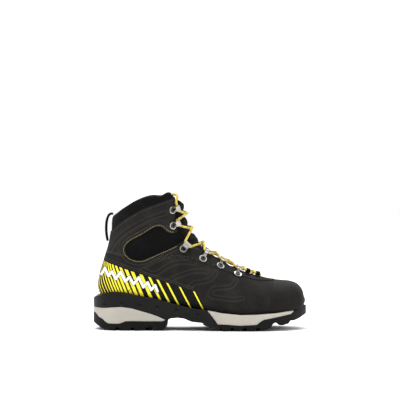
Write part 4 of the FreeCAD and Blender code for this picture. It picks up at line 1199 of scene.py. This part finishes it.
# Where each stripe meets the band's top edge along the heel, and its width there and at the rand.
STRIPES = ((-186.0, 1.3, 1.4), (-179.0, 1.3, 1.5), (-172.0, 1.3, 1.5), (-165.0, 1.3, 1.5),
           (-158.5, 1.3, 1.5), (-152.5, 1.4, 1.7), (-147.0, 1.5, 1.9), (-141.6, 1.7, 2.2),
           (-136.2, 1.9, 2.5), (-131.3, 2.1, 2.6), (-126.0, 2.5, 3.1), (-119.8, 3.0, 3.7),
           (-112.8, 3.6, 4.3), (-104.7, 4.1, 4.9), (-96.0, 4.2, 5.1), (-83.9, 3.9, 4.8),
           (-72.0, 3.2, 3.6), (-60.5, 2.8, 3.0), (-46.8, 2.5, 2.7), (-29.0, 2.3, 2.4), (-9.1, 2.0, 2.2))
# A plain row of peaks on the band.
RIDGE = ((-140.0, 79.0), (-134.5, 88.0), (-129.5, 77.0), (-124.5, 83.5), (-119.0, 73.0), (-112.0, 83.0),
         (-105.5, 69.5), (-99.5, 76.0), (-94.0, 65.5), (-86.5, 75.0), (-80.0, 61.5), (-74.0, 68.0),
         (-69.0, 57.5), (-63.5, 64.0), (-60.0, 55.5))
RIDGE_WIDTH = 3.6
RIDGE_FROM_BACK = 8.0    # the peaks stop this far from the back seam, to each side
PRINT_MARGIN = 0.7       # plain film round the printed shapes
UNDER_RAND = 2.0         # how far the overlays go on below the rand
STAY_HALF = 9.0          # half width of the strap up the back
EYESTAY_WIDTH = 15.0
HEEL_TURN = -105.0       # where the side of the heel starts to turn round the back
OUTSIDE = -9.0           # a field's value where there is nothing to print


def around_heel(p):
    """Distance along the heel: x on the side, and on round the back."""
    turn = np.arctan2((HEEL_TURN - p[:, 0]) / 42.0, np.abs(p[:, 1]) / 37.0)
    return np.where(p[:, 0] > HEEL_TURN, p[:, 0], HEEL_TURN - 40.0 * turn)


def stripe_field(p):
    top = smooth_line(HEEL_BAND_TOP)
    along = around_heel(p)
    best = np.full(len(p), OUTSIDE)
    for start, top_width, low_width in STRIPES:
        slope = np.interp(start, (-140.0, -90.0, -60.0), (0.38, 0.42, 0.53))
        drop = np.interp(max(start, -150.0), top[:, 0], top[:, 1]) - p[:, 2]
        width = top_width + (low_width - top_width) * np.clip(drop / 44.0, 0, 1)
        best = np.maximum(best, (width / 2 - np.abs(along - start - slope * drop)) / math.hypot(1, slope))
    return best


def build_heel_band():
    edge = least(opposite(over_band), opposite(band_ahead))
    band = Patch((1.0, 18.0), ROUND).clip(shifted(over_rand, UNDER_RAND)).clip(edge, EDGE_LEVELS)

    def band_depth(p):
        return -0.15 - 0.45 * rolled(edge(p), 0.8)
    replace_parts(band.make("heel_film", band_depth, BAND_FILM, "overlay_film"), "heel_band")

    ridge_line = np.array(RIDGE)

    def ridge_field(p):
        near = RIDGE_WIDTH / 2 - distance_to(ridge_line, p[:, [0, 2]])
        return np.where(np.abs(p[:, 1]) > RIDGE_FROM_BACK, near, OUTSIDE)
    room = shifted(least(edge, over_rand), -PRINT_MARGIN)
    stripes = Patch((4.0, 18.0), ROUND, 0.6).clip(room).clip(stripe_field)
    stripes.clip(shifted(opposite(ridge_field), -PRINT_MARGIN))
    stripes.make("heel_stripes", -0.72, YELLOW, "overlay_film")
    ridge = Patch((9.0, 18.0), ROUND, 0.6).clip(room).clip(ridge_field)
    ridge.make("heel_ridge_mark", -0.74, WHITE, "overlay_film")


def build_overlays():
    cap = Patch((-1.0, 8.0), ROUND).clip(shifted(over_rand, UNDER_RAND)).clip(ahead_of_cap, EDGE_LEVELS)

    def cap_depth(p):
        return -0.05 - 0.6 * rolled(ahead_of_cap(p), 5.0) - 0.05 * waves(p, 5, 71)
    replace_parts(cap.make("toe_film", cap_depth, FILM, "overlay_film"), "toe_cap")

    stay_edge = least(lambda p: STAY_HALF - np.abs(p[:, 1]), over_band, opposite(over_seam))
    stay = Patch((13.0, LAST), ROUND).clip(lambda p: -60.0 - p[:, 0]).clip(stay_edge, EDGE_LEVELS)

    def stay_depth(p):
        return -0.1 - 0.7 * rolled(stay_edge(p), 1.0) - 0.08 * waves(p, 14, 72)
    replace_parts(stay.make("back_strap", stay_depth, SUEDE_CUFF, "suede"), "back_stay")

    near_throat = shifted(opposite(off_throat), EYESTAY_WIDTH)
    trim = least(off_throat, near_throat, opposite(over_cuff), opposite(in_flex))
    stays = Patch((4.0, 17.0), ROUND).clip(trim, EDGE_LEVELS)

    def eyestay_depth(p):
        return OVERLAY * rolled(trim(p), 1.1) - 0.05 * waves(p, 11, 73)
    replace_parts(stays.make("eyestay_leather", eyestay_depth, SUEDE, "suede"), "eyestay_lateral",
                "eyestay_medial")


# --- Stitching ------------------------------------------------------------------------------------

def kept_runs(points, normals, field):
    """The parts of a line where field is positive."""
    good = field(points) > 0
    runs, start = [], None
    for i, ok in enumerate(list(good) + [False]):
        if ok and start is None:
            start = i
        if not ok and start is not None:
            if i - start > 4:
                runs.append((points[start:i], normals[start:i]))
            start = None
    return runs


def sew(name, rows, material, slot_name, **kind):
    """Rows of stitches on both sides as one piece; each row is (line, depth, where kept, projection)."""
    made = []
    for line, depth, field, project in rows:
        for side in (1, -1):
            p, n = on_form(line, side, depth, project)
            for points, normals in kept_runs(p, n, field):
                made += stitches(points, normals, **kind)
    points, faces = join(made)
    return add_object(name, points, faces, material)


def throat_line(offset):
    line = smooth_line([(t, w) for t, w in THROAT[4:]])
    return offset_line(line, offset)


def between(line, low, high):
    """The part of a line whose x lies between two values."""
    return line[(line[:, 0] > low) & (line[:, 0] < high)]


def build_stitching():
    clear = shifted(off_throat, -2.0)
    off_flex = opposite(shifted(in_flex, 2.0))
    behind_band_front = least(opposite(band_ahead), clear)
    below_cuff = least(opposite(over_cuff), off_flex)
    on_cuff = least(over_cuff, off_flex, opposite(shifted(over_seam, 4.0)))

    flex_edge = smooth_line(FLEX_PANEL[11:] + FLEX_PANEL[:9])
    sew("flex_stitches", [(offset_line(flex_edge, 1.6), 0.0, clear, side_view)], THREAD, "softshell",
        pitch=3.3, length=2.0, radius=0.34)

    low_seam = smooth_line(LOW_SEAM)
    band_top = smooth_line(HEEL_BAND_TOP)
    cuff_seam = smooth_line(CUFF_SEAM[:5])
    rows = [
        (offset_line(flex_edge, 6.4), 0.05, least(clear, lambda p: p[:, 2] - 20), side_view),
        (offset_line(low_seam, 1.1), 0.1, clear, side_view),
        (offset_line(low_seam, -1.1), 0.1, clear, side_view),
        (offset_line(band_top, 1.6), 0.0, behind_band_front, side_view),
        (offset_line(band_top, 4.2), 0.0, behind_band_front, side_view),
        (offset_line(cuff_seam, 2.0), 0.2, opposite(in_flex), side_view),
        (offset_line(cuff_seam, 4.2), 0.1, opposite(in_flex), side_view),
        (throat_line(2.6), -1.15, below_cuff, throat_view),
        (throat_line(13.0), -1.15, below_cuff, throat_view),
        (throat_line(2.6), 0.0, on_cuff, throat_view),
    ]
    rows = [(between(line, -150.0, 150.0), *rest) for line, *rest in rows]
    sew("seam_stitches", rows, THREAD_GREY, "suede", pitch=2.7, length=1.8, radius=0.34)

    below_collar = between(offset_line(smooth_line(COLLAR_SEAM), -2.6), -130.0, -34.0)
    sew("collar_ticks", [(below_collar, 0.0, clear, side_view)], THREAD_GREY, "suede",
        pitch=2.5, length=1.5, radius=0.36, slant=1.2)


build_stage()
build_laces()
build_hardware()
build_sole()
build_leather()
build_panels()
build_collar()
build_tongue()
build_lining()
build_heel_band()
build_overlays()
build_stitching()
